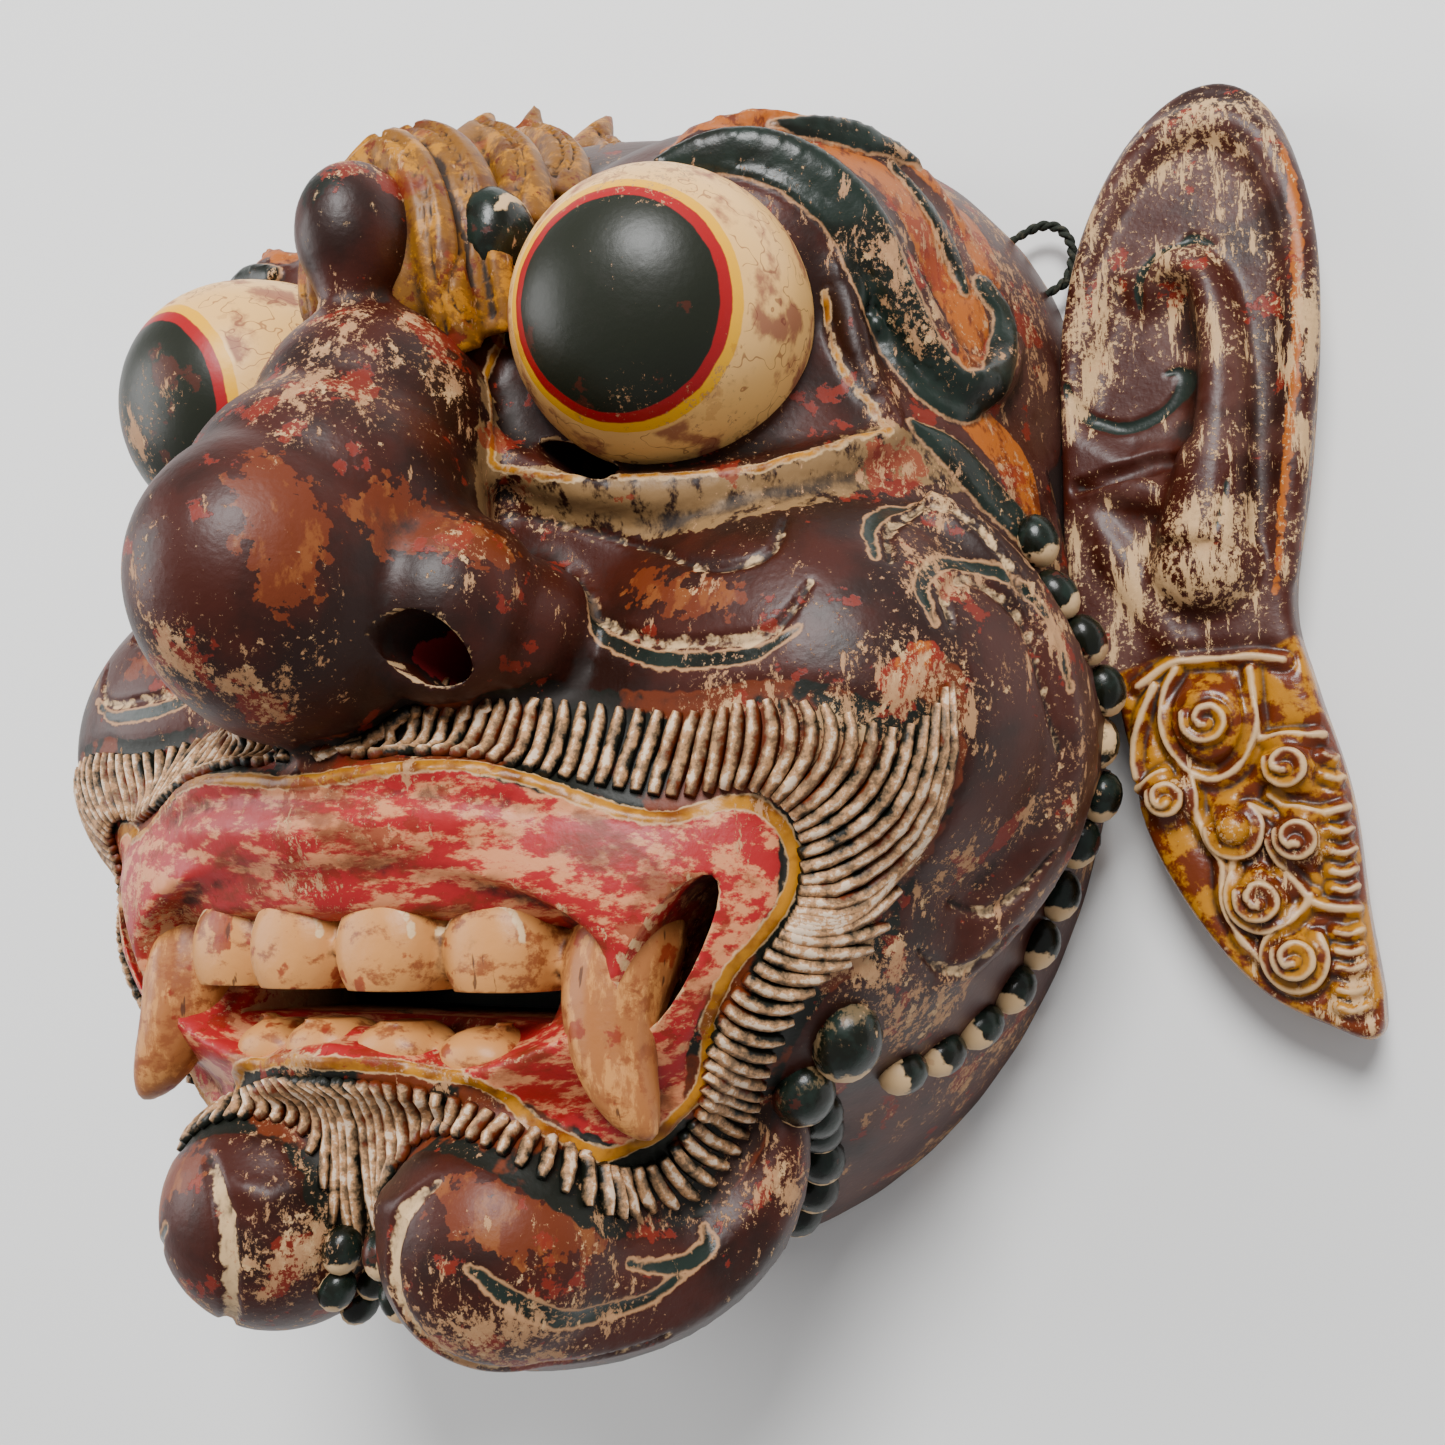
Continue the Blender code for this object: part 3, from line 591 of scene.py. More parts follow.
def rounded(field, edge=0.8):
    """A field as a soft step from 0 to 1, rising over the edge width around a stroke's border."""
    step = np.clip((field + edge / 2) / edge, 0, 1)
    return step * step * (3 - 2 * step)


CREAM = [[(x, y, z, half * LINE_SHARE) for x, y, z, half in stroke] for stroke in CREAM]
face_skin = bearer(head)
corners = corners_of(head)
line_field = stroke_field(corners, [*GOLD, *CREAM, *GREEN], face_skin)
divided(head, faces_near(head, line_field, FINE_REACH))
corners = corners_of(head)
carving = -CREAM_DEPTH * rounded(stroke_field(corners, CREAM, face_skin), 1.2)
carving -= GREEN_DEPTH * rounded(stroke_field(corners, GREEN, face_skin), 1.0)
carving += GOLD_RISE * rounded(stroke_field(corners, GOLD, face_skin), 0.8)
bands = stroke_field(corners, GREEN[BROW_BANDS], face_skin)
carving += BAND_RISE * rounded(bands, 2.4) - BAND_GROOVE * rounded(0.5 - abs(bands + 0.4), 0.9)
moved(head, carving)
count(head)

# %% [markdown]
# Hair frames the whole mouth. Every strand springs from the lip line, lies on the skin and ends along the
# cheek, so three lines hold the pattern: where strands start, where they pass and where they end. A strand
# is a narrow ridge with a sharp crest. Strands are built as their own mesh, because they are finer than
# the skin's cells, and each needs only a few dozen faces.

# %% Hair around the mouth
HAIR = (
    ((0, -25, 103), (0, -21, 98), (0, -16, 97)), ((18, -25, 101), (18, -20, 96), (20, -15, 95)),
    ((38, -28, 96), (37, -23, 91), (35, -17, 87)), ((54, -32, 88), (55, -26, 87), (57, -20, 86)),
    ((65, -31, 83), (68, -25, 84), (68, -19, 85)), ((70, -34, 81), (77, -27, 81), (77, -20, 82)),
    ((71, -38, 79), (80, -32, 77), (84, -23, 77)), ((71, -43, 78), (82, -37, 73), (88, -21, 73)),
    ((70, -48, 78), (82, -43, 67), (91.5, -18, 71)), ((68, -51, 79), (74, -52, 73), (80, -49, 65)),
    ((65, -56, 81), (68, -58, 77), (72, -58, 72)), ((61, -61, 82), (63, -63, 77), (67, -63, 73)),
    ((57, -67, 80), (59, -70, 75), (61, -71, 70)), ((54, -76, 77), (54, -79, 69), (55, -81, 63)),
    ((50, -82, 74), (50, -85, 69), (51, -87, 64)), ((45, -85.5, 76), (45, -89, 73), (46, -92, 70)),
    ((39, -85, 80), (39, -89, 81), (40, -93, 82)), ((33, -82, 85), (33, -86, 87), (33, -89, 89)),
    ((25, -77, 90), (24, -80, 91), (24, -83, 92)), ((14, -74, 95), (12, -79, 90), (13, -83, 90)),
    ((8, -74, 96), (6, -82, 90), (8, -92, 90)), ((1.3, -74, 97), (1.3, -88, 88), (3, -108, 86)),
)
HAIR_PITCH, HAIR_HALF, HAIR_RISE = 2.7, 1.12, 1.15
SECTION = ((-1, -0.6), (-0.82, 0.5), (0, 1), (0.82, 0.5), (1, -0.6), (0, -1.2))
TAPER = (0.8, 1, 1, 1, 1, 1, 0.9, 0.6)


def even_places(lines, pitch):
    """Matching places on several lines, so that those on the middle line stand at an even pitch."""
    middle = lines[len(lines) // 2]
    gone = np.concatenate([[0], np.cumsum(np.linalg.norm(np.diff(middle[:, :3], axis=0), axis=1))])
    stops = np.arange(pitch / 2, gone[-1], pitch)
    return [np.column_stack([np.interp(stops, gone, column) for column in line.T]) for line in lines]


def swept(name, tracks, skin, half, rise):
    """One mesh of crested strands, each through its track of places, lying on a skin."""
    places, faces, crest = [], [], []
    for track in tracks:
        lain = [onto(skin, place) for place in track]
        first = len(places)
        for index, (spot, normal) in enumerate(lain):
            ahead = lain[min(index + 1, len(lain) - 1)][0] - lain[max(index - 1, 0)][0]
            across = normal.cross(ahead).normalized()
            size = TAPER[index * len(TAPER) // len(lain)]
            for sideways, upwards in SECTION:
                place = spot + across * sideways * half * size + normal * (upwards * size + 0.35) * rise
                places.append(place * PART)
                crest.append(max(0.0, upwards))
        width = len(SECTION)
        for step in range(len(lain) - 1):
            for corner in range(width):
                here, beside = first + step * width + corner, first + step * width + (corner + 1) % width
                faces.append((here, beside, beside + width, here + width))
        faces.append(tuple(first + corner for corner in range(width))[::-1])
        faces.append(tuple(first + (len(lain) - 1) * width + corner for corner in range(width)))
    mesh = bpy.data.meshes.new(name)
    mesh.from_pydata(places, [], faces)
    made = bpy.data.objects.new(name, mesh)
    bpy.context.scene.collection.objects.link(made)
    stored(made, "crest", crest)
    hold(made)
    bpy.ops.object.mode_set(mode="EDIT")
    bpy.ops.mesh.select_all(action="SELECT")
    bpy.ops.mesh.normals_make_consistent(inside=False)
    bpy.ops.object.mode_set(mode="OBJECT")
    return made


carved_skin = bearer(head)
hair_lines = [smooth_line([station[part] for station in HAIR], 6) for part in range(3)]
tracks = []
for root, middle, reach in zip(*even_places(hair_lines, HAIR_PITCH)):
    shares = np.linspace(0, 1, len(TAPER))
    track = [root * (1 - t) * (1 - 2 * t) + middle * 4 * t * (1 - t) + reach * t * (2 * t - 1)
             for t in shares]
    tracks += [[mirrored(place, side) for place in track] for side in (1, -1)]
hair = swept("hair_strands", tracks, carved_skin, HAIR_HALF, HAIR_RISE)
count(hair)

# %% [markdown]
# The skin between the strands is sunk a little and painted dark. How near a corner of the skin is to the
# nearest strand says whether it lies in the hair.

# %% Sink the skin between the strands
HAIR_REACH, HAIR_SINK = 3.0, 0.5

tree = KDTree(sum(len(track) for track in tracks))
for index, place in enumerate(place for track in tracks for place in track):
    tree.insert(onto(carved_skin, place)[0], index)
tree.balance()
places = np.empty(len(head.data.vertices) * 3)
head.data.vertices.foreach_get("co", places)
hair_field = np.array([HAIR_REACH - tree.find(place)[2] for place in places.reshape(-1, 3) / PART])
moved(head, -HAIR_SINK * rounded(hair_field, 1.5))

# %% [markdown]
# A row of dark beads edges each cheek lobe, and two curls close it at the corner of the jaw. One bead is
# modelled, with a pale crescent on its lower end, and copies of it are laid on the skin, each turned to
# follow the row.

# %% Beads and curls
BEAD_LINE = ((92, 16, 34), (97, 3, 32), (99, -9, 26), (98, -24, 18), (95, -39, 16), (89, -53, 17),
             (82, -64, 23), (75, -71, 33), (68, -74, 47))
LOWER_BEADS = ((61, -77, 55), (58, -86, 44), (53, -96, 34), (45, -104, 27))
CURLS = ((70, -67, 63, 5.5), (62, -75, 61, 5), (5, -100, 88, 3.2), (9, -105, 86, 3), (3.5, -108, 80, 3),
         (9, -112, 78, 3))
BEAD_PITCH, BEAD = 9.2, (4.6, 3.7, 3.4)


def bead_copies(line, pitch, scale=1.0):
    """Copies of the bead along a line, on both cheeks."""
    found = []
    smooth = smooth_line(line, 6)
    spots, = even_places([smooth], pitch)
    ahead = np.gradient(spots, axis=0)
    for spot, way in zip(spots, ahead):
        for side in (1, -1):
            found.append(laid(mirrored(spot, side), mirrored(way, side), scale))
    return found


def laid(spot, way, scale):
    """One copy of the bead on the skin, its long side along the way."""
    place, normal = onto(carved_skin, spot, 0.9)
    long = (Vector(way) - normal * Vector(way).dot(normal)).normalized()
    turned = Matrix((long, normal.cross(long), normal)).transposed().to_4x4()
    copy = bead.copy()
    copy.data = bead.data.copy()
    bpy.context.scene.collection.objects.link(copy)
    copy.data.transform(Matrix.Translation(place * PART) @ turned @ Matrix.Scale(scale, 4))
    return copy


bead = egg("bead", (0, 0, 0), BEAD, across=16)
local = np.array([corner.co / PART for corner in bead.data.vertices])
crescent = local[:, 0] / BEAD[0] - 0.35 - 0.3 * (local[:, 1] / BEAD[1]) ** 2
stored(bead, "crescent", crescent * (local[:, 2] > -1))
beads = bead_copies(BEAD_LINE, BEAD_PITCH) + bead_copies(LOWER_BEADS, BEAD_PITCH, 1.1)
for x, y, z, half in CURLS:
    beads += [laid((x * side, y, z), (0.3 * side, -1, 0), half / BEAD[1]) for side in (1, -1)]
beads = joined(beads, "cheek_beads")
discard(bead)
count(beads)

# %% [markdown]
# Teeth and fangs are painted bone white, so they are a piece of their own, set into the mouth. Each tooth
# is a squared egg; a fang is a ridge that curves outwards and narrows. One skin joins them at the gums.

# %% Teeth and fangs
UPPER_TEETH = ((9, -51.5, 90, 9.6), (26.5, -52, 86, 9.4))
LOWER_TEETH = ((7.2, -69.5, 87), (21, -70.5, 84), (33, -72.5, 79))
FANG = ((46, -47, 80, 7), (45, -52, 82, 9), (43.5, -58, 84, 8.6), (44, -66, 86, 7), (46.5, -73, 87, 5.4),
        (50, -78, 87, 3.6), (52, -80, 87, 0.8))
TOOTH_CUT_HALF_WIDTH = 36
GUM_INSET, GUM_RISE, GUM_FRONT = 1.4, 5.4, 8


def gum_line(x, y, z, half):
    """The painted arch of the gum over one upper tooth."""
    turns = np.linspace(0, math.pi, 9)
    return even([(x + (half - GUM_INSET) * math.cos(a), y + GUM_RISE * math.sin(a), z + GUM_FRONT)
                 for a in turns], 0.5)


teeth = []
for side in (1, -1):
    for x, y, z, half in UPPER_TEETH:
        teeth.append(egg("upper_tooth", (x * side, y - 2, z), (half, 10.8, 9.6), 2.8, across=24))
    for place in LOWER_TEETH:
        teeth.append(egg("lower_tooth", mirrored(place, side), (7.6, 5, 7.5), 2.6, across=24))
    teeth.append(ridge("fang", [mirrored(place, side) for place in FANG], 4))
teeth = fused(joined(teeth, "teeth_and_fangs"), 0.9, 3)
cut(teeth, mouth_gap(TOOTH_CUT_HALF_WIDTH))
gum_lines = [gum_line(*tooth) for tooth in UPPER_TEETH]
stored(teeth, "gum", stroke_field(corners_of(teeth), gum_lines, bearer(teeth)))
count(teeth)

# %% [markdown]
# The eyeballs bulge far out and look down a little. Each is an egg of its own, smooth and round, because the
# pupil's rings are painted on it in perfect circles.

# %% Eyeballs
EYE = ((44, 46, 71), (24, 24, 26), 2.2)
EYE_SWING = (14, 12)
eyes = []
for side, name in ((1, "eyeball_right"), (-1, "eyeball_left")):
    centre, halves, fullness = EYE
    swing = (EYE_SWING[0], EYE_SWING[1] * side, 0)
    eyes.append(egg(name, mirrored(centre, side), halves, fullness, swing, across=72))
    eyes[-1].data.name = name
    count(eyes[-1])

# %% [markdown]
# The crest is gilded over red: a collar behind the bulb on the forehead, then flames that lean back like
# breaking waves and end in free tips, with a dark volute in front of them on each side. Narrow flutes are
# cut along every flame.

# %% Crest and volutes
COLLAR = ((0, 60, 83), (14, 18, 13))
CREST_WALL = ((0, 66, 86, 10), (0, 76, 75, 9), (0, 84, 61, 9), (0, 90, 47, 8), (0, 95, 33, 7), (0, 99, 21, 5))
CREST_FLAMES = (
    ((13, 43, 83, 3.5), (13.5, 52, 89, 4.5), (12, 64, 90, 4.5), (7, 74, 89, 4.5), (0, 79, 87, 4.5)),
    ((18, 47, 78, 4), (18, 56, 82, 4.5), (15, 69, 83, 5), (8, 80, 81, 5), (0, 84, 79, 4.5)),
    ((18, 66, 73, 5), (17, 78, 71, 5.5), (10, 87, 67, 5), (0, 94, 62, 2.5)),
    ((18, 74, 63, 5), (17, 85, 57, 5.5), (10, 93.5, 52, 4.5), (0, 101, 48.5, 2)),
    ((17, 84, 50, 5), (16, 93, 41, 5.5), (9, 101, 31, 4.5), (0, 110, 24, 2)),
)
FLAME_TIPS = (
    ((0, 82, 70, 6), (0, 90, 65, 5), (0, 95, 62, 3), (0, 99, 60, 0.8)),
    ((0, 86, 50, 6), (0, 95, 48.5, 5), (0, 101, 48, 3.2), (0, 107, 46, 0.8)),
    ((0, 93, 36, 6), (0, 101, 31, 5.5), (0, 108, 26, 4.4), (0, 113, 23, 2.8), (0, 117.5, 20, 0.8)),
)
VOLUTE = ((17, 63, 80), (6, 8, 7))
VOLUTE_FULLNESS = 2.4
FLUTE_DEPTH, FLUTE_HALF, FLUTE_SHIFTS = 1.1, 0.35, (-0.75, -0.25, 0.25, 0.75)
crest = [egg("collar", *COLLAR), ridge("wall", CREST_WALL, 4)] + [ridge("tip", tip, 4) for tip in FLAME_TIPS]
for side in (1, -1):
    crest += [ridge("flame", [mirrored(place, side) for place in flame], 4) for flame in CREST_FLAMES]
crest = fused(joined(crest, "flame_crest"), 0.9, 2)
crest_skin = bearer(crest)
corners = corners_of(crest)
flutes = np.zeros(len(corners))
for flame in CREST_FLAMES:
    line = smooth_line(flame, 4)
    for shift in FLUTE_SHIFTS:
        shifted = [(x, y + shift * half * 0.6, z + shift * half, FLUTE_HALF) for x, y, z, half in line]
        flutes = np.maximum(flutes, rounded(stroke_field(corners, [shifted], crest_skin, 1), 1.2))
moved(crest, -FLUTE_DEPTH * flutes)
count(crest)
volute_centre, volute_halves = VOLUTE
volutes = [egg("volute", mirrored(volute_centre, side), volute_halves, VOLUTE_FULLNESS) for side in (1, -1)]
volutes = joined(volutes, "crest_volutes")
corners = corners_of(volutes)
swirl = even([(20.5, 63 + 5 * math.sin(a), 80 + 4.5 * math.cos(a)) for a in np.linspace(0.4, 4.6, 9)], 0.7)
stored(volutes, "crescent", stroke_field(corners, [swirl], bearer(volutes)) * 0.3)

# %% [markdown]
# The ears are boards. Their outline is cut first, then rim, inner fold and lobe stand up from it, and the
# leaf earring below is a cluster of bosses with spirals cut round them. The left ear is the right one
# mirrored, since the mask is alike on both sides.

# %% Ears
EAR_MIDDLE, EAR_THICKNESS, JOIN_GAP = 9.5, 11, 0.3
EAR_OUTLINE = ((92, 47), (93, 57), (97, 72), (105, 86), (115, 93.5), (124, 93), (131, 85), (135, 70),
               (135.5, 50), (133, 25), (129.5, 2), (132, -12), (136.5, -30), (138, -48), (139.5, -68),
               (131, -67), (121, -61.5), (111.5, -50), (104, -35), (101, -18), (99, -11), (92, -20))
EAR_RIDGES = (
    ((96, 60, 14, 2), (103, 81, 14, 3.5), (117, 89, 14, 4), (128, 83, 14, 4), (133, 68, 14, 3.5),
     (134, 50, 14, 3.2), (131, 27, 14, 3.2), (128, 5, 13, 2.5)),
    ((108, 61, 13, 2.5), (113, 63.5, 14, 3.5), (118.5, 59, 15, 4.5), (120, 46, 15.5, 5),
     (119.5, 33, 15.5, 5.5), (117.5, 20, 15.5, 7), (116, 12, 15, 8)),
    ((95, 24, 13, 2), (102, 24, 14.5, 3.5), (110, 22, 14.5, 3.5), (113, 18, 14.5, 3)),
    ((97, 20, 12, 4), (102, 10, 12, 5), (108, 0, 12, 5), (112, -6, 12, 4)),
)
EAR_BULB = ((116, 8, 13), (9.5, 8.5, 8.5))
EARRING_BOSSES = ((115.6, -18, 8), (108.5, -30.5, 4.6), (127.8, -26, 5.4), (128.8, -37.6, 5.2),
                  (122.4, -47.3, 5.8), (127.5, -56.5, 5.2), (119, -36, 5))
BOSS_HEIGHT = 7
EAR_CELL = 0.95


def board(name, outline, middle, thickness):
    """A flat board with the given outline and softened edges."""
    softness = thickness * 0.2 * PART
    bpy.ops.curve.primitive_bezier_circle_add()
    curve = bpy.context.object
    curve.name = name
    line = curve.data
    line.dimensions = "2D"
    line.fill_mode = "BOTH"
    line.bevel_depth = softness
    line.bevel_resolution = 1
    line.extrude = thickness * PART / 2 - softness
    line.offset = -softness
    line.splines.clear()
    spline = line.splines.new("POLY")
    spline.points.add(len(outline) - 1)
    spline.use_cyclic_u = True
    for point, (x, y) in zip(spline.points, outline):
        point.co = (*layout(x, y), 1)
    hold(curve)
    bpy.ops.object.convert(target="MESH")
    made = welded()
    bpy.ops.object.mode_set(mode="EDIT")
    bpy.ops.transform.translate(value=(0, 0, middle * PART))
    bpy.ops.object.mode_set(mode="OBJECT")
    return made


def spiral(x, y, z, out, turns, half):
    """A stroke that winds out from the middle of a boss."""
    steps = int(8 * turns)
    places = []
    for step in range(steps + 1):
        angle = 2 * math.pi * turns * step / steps + 1.6
        away = out * (0.2 + 0.8 * step / steps)
        places.append((x + away * math.cos(angle), y - away * math.sin(angle), z, half))
    return tuple(places)


FRONT = EAR_MIDDLE + 6
EARRING_LINES = (
    ((122.6, -9.7), (123, -15.6), (123.3, -20), (124, -21.2), (128.5, -21.1), (133.6, -21)),
    ((124.7, -30.7), (127.3, -32.6), (131.2, -33.8), (137.9, -32.6)),
    ((125, -37.8), (126.2, -42.1), (128.7, -45.6), (130.5, -47.7), (133.7, -48.7), (137.6, -48.7)),
    ((106.9, -11.4), (104.5, -16.5), (102.8, -21.6), (102.1, -26.8)),
    ((102, -28.7), (105.1, -27.7), (108.1, -26)),
    ((112.4, -26.6), (113.2, -33.9), (115.4, -38.3), (116.7, -41.9), (116.7, -47.6), (118.9, -53.2),
     (122.1, -56.9)),
    ((110.7, -8.7), (108.7, -12.3), (108.1, -17.5), (109.7, -22.8), (112.4, -26.2), (115.9, -27.6),
     (119.4, -26.2), (122, -22.7), (123.2, -18.5)),
    ((118.8, -39.8), (118.1, -44), (119.1, -48.3), (121.7, -51.1), (125, -51.5), (128.5, -49.1),
     (130.2, -46.6)),
    ((124.4, -51.8), (122.7, -55.3), (123.4, -58.8), (125.9, -61.4), (129.2, -61.1), (131, -58),
     (130.9, -53.2)),
    ((124.6, -33.6), (121.2, -32.7), (122.4, -35.6), (120.9, -39.1), (117.5, -39), (115.5, -36.1)),
    ((104.3, -11.2), (109.6, -7.9), (113.9, -7.5), (118.9, -7.6), (123.1, -7.6), (127.8, -8.6)),
)
CUT_PLACES = (-24, -27.5, -36, -39.3, -42.5, -45.2, -52, -54.9, -57.5, -61, -63.8)
SPIRALS = ((115.8, -18, 3.4), (127.8, -26, 2.9), (128.8, -37.6, 2.9), (108.7, -30.5, 2.4),
           (122.6, -47.3, 3.1), (127.6, -56.5, 2.9))
# The earring's ridges are raised, and cream is painted along them as a painted highlight.
EARRING_HIGHLIGHT_RIDGES = [spiral(x, y, FRONT + 2, half, 1.3, 0.5) for x, y, half in SPIRALS]
EARRING_HIGHLIGHT_RIDGES += [even([(*place, FRONT) for place in line], 0.6) for line in EARRING_LINES]
EARRING_HIGHLIGHT_RIDGES += [even(((133.4, y - 0.4, FRONT), (135.5, y - 0.8, FRONT), (137.6, y, FRONT)), 0.45)
              for y in CUT_PLACES]
EAR_GREEN = [
    ((106.8, 56.3, 16, 0.6), (107.2, 60.3, 16, 0.9), (109.8, 63.8, 16, 1), (113.7, 66, 17, 0.9),
     (117, 66, 17, 0.8), (120.2, 64, 17, 0.3)),
    ((93.3, 43.6, 15, 0.7), (95.1, 39.7, 15, 0.9), (98.5, 36.6, 15, 1.1), (103.3, 35, 15, 1.1),
     (108.2, 35.9, 15, 1.1), (111.3, 37.9, 15, 1), (113.3, 41, 15, 1), (112.8, 43.6, 15, 0.8),
     (110.9, 43.6, 15, 0.4)),
    ((117.9, 12.1, 20, 0.2), (119.9, 16.6, 20, 0.4), (121, 21.2, 20, 0.2)),
]
RIM_LINE = [((131.3, 78.7, 16, 0.6), (133.2, 67.3, 16, 0.9), (133.3, 51.7, 16, 0.9), (132.2, 38.5, 16, 0.8),
             (130.4, 25.5, 16, 0.8), (128.6, 13.6, 16, 0.6), (127.2, 2.5, 16, 0.4))]
TRAGUS_CUT = [((95.1, 25, 15, 0.8), (100.1, 25.3, 15, 1.2), (107.8, 27.1, 15, 1.6), (113, 27, 15, 1))]
DISH = ((97, 47), (103, 60), (108, 56), (115, 58), (117, 45), (115, 30), (104, 30), (96, 36))
LEAF = ((97, -10), (108, -6.5), (118, -7.5), (127, -6), (131, -4), (145, -20), (145, -75), (95, -75))
RIDGE_RISE, RIDGE_MOAT = 0.9, 0.6
GREEN_CUT, DISH_DEPTH, TRAGUS_DEPTH = 0.5, 2.6, 2.2
EAR_FINE_REACH = 1.4

outline = smooth_line([*EAR_OUTLINE, EAR_OUTLINE[0]], 5)[:-1]
forms = [board("ear_board", outline, EAR_MIDDLE, EAR_THICKNESS), egg("ear_bulb", *EAR_BULB)]
forms += [ridge("ear_ridge", places, 4) for places in EAR_RIDGES]
for x, y, half in EARRING_BOSSES:
    forms.append(egg("boss", (x, y, EAR_MIDDLE + 3), (half, half, BOSS_HEIGHT), across=24))
ear = fused(joined(forms, "right_ear"), EAR_CELL, 3)
cut(ear, block((0, -FAR, -FAR), (SEAT_X + JOIN_GAP, FAR, FAR)))
ear_skin = bearer(ear)
ear_lines = stroke_field(corners_of(ear), [*EARRING_HIGHLIGHT_RIDGES, *EAR_GREEN, *TRAGUS_CUT], ear_skin)
divided(ear, faces_near(ear, ear_lines, EAR_FINE_REACH))
corners = corners_of(ear)
highlight_ridge_field = stroke_field(corners, EARRING_HIGHLIGHT_RIDGES, ear_skin)
green_field = stroke_field(corners, EAR_GREEN, ear_skin)
carving = (RIDGE_RISE + RIDGE_MOAT) * rounded(highlight_ridge_field + 0.3, 2)
carving -= RIDGE_MOAT * rounded(highlight_ridge_field + 1.9, 1.6)
carving -= GREEN_CUT * rounded(green_field, 1.2)
carving -= DISH_DEPTH * rounded(patch_field(corners, DISH, EAR_MIDDLE), 7)
carving -= TRAGUS_DEPTH * rounded(stroke_field(corners, TRAGUS_CUT, ear_skin), 2.5)
moved(ear, carving)
stored(ear, "cream", highlight_ridge_field)
stored(ear, "green", green_field)
stored(ear, "rim", stroke_field(corners, RIM_LINE, ear_skin))
stored(ear, "leaf", patch_field(corners, LEAF, -1))
other_ear = ear.copy()
other_ear.data = ear.data.copy()
other_ear.name = other_ear.data.name = "left_ear"
bpy.context.scene.collection.objects.link(other_ear)
other_ear.data.transform(Matrix.Scale(-1, 4, (1, 0, 0)))
other_ear.data.flip_normals()
ears = [ear, other_ear]
count(ear)

# %% [markdown]
# Paint follows the carving. For each colour, the field of its strokes is kept on the corners of the piece,
# and the material turns it into a brushed edge. Wear and painted light follow the form as well: how far a
# corner stands out from its surroundings says where it is rubbed pale with a painted highlight, and where it
# is darkened as a recess.

# %% Fields for the painter
WEAR_STEPS = 8


def relief(piece, steps=WEAR_STEPS):
    """How far each corner stands out from the average of its surroundings, in parts."""
    ends = np.empty(len(piece.data.edges) * 2, np.int32)
    piece.data.edges.foreach_get("vertices", ends)
    first, second = ends.reshape(-1, 2).T
    places = np.empty(len(piece.data.vertices) * 3)
    piece.data.vertices.foreach_get("co", places)
    places = places.reshape(-1, 3) / PART
    normals = np.empty(len(piece.data.vertices) * 3)
    piece.data.vertices.foreach_get("normal", normals)
    shares = np.bincount(first, minlength=len(places)) + np.bincount(second, minlength=len(places))
    soft = places
    for _ in range(steps):
        total = np.empty_like(soft)
        for axis in range(3):
            total[:, axis] = np.bincount(first, soft[second, axis], len(places))
            total[:, axis] += np.bincount(second, soft[first, axis], len(places))
        soft = (soft + total / np.maximum(shares, 1)[:, None]) / 2
    proud = ((places - soft) * normals.reshape(-1, 3)).sum(1)
    return proud - np.median(proud)


def inside_hollow(corners):
    """Positive on the walls of the hollow and on the flat rim, and negative outside."""
    x, y, z = ((corners - skull_centre) / hollow_halves).T
    swell = (np.hypot(x, y) ** skull_fullness + abs(z) ** skull_fullness) ** (1 / skull_fullness)
    return np.where(corners[:, 2] < 0.2, 1, 8 * (1.06 - swell))


corners = corners_of(head)
face_strokes = {"gold": GOLD, "cream": CREAM, "green": GREEN, "orange": ORANGE, "grey": GREY, "red": RED,
                "worn": WORN, "flower": FLOWER, "flesh": FLESH}
for name, strokes in face_strokes.items():
    stored(head, name, stroke_field(corners, strokes, face_skin))
stored(head, "lip", patch_field(corners, LIP_LINE, 55))
stored(head, "hair", hair_field)
stored(head, "bare", inside_hollow(corners))
for piece in (head, teeth, crest, volutes, beads, *ears, *eyes):
    stored(piece, "relief", relief(piece))

# %% [markdown]
# A painted surface is built as the painter built it, as coats one over another: each coat has a colour and
# a mask, and the mask may come from a stroke's field, from clouds of noise, or from the relief. A small
# class keeps the node work short and gives every material the same hand.

# %% Coats of paint
SPREAD, BRUSH_EDGE, GLOSS = 0.35, 0.18, 0.3


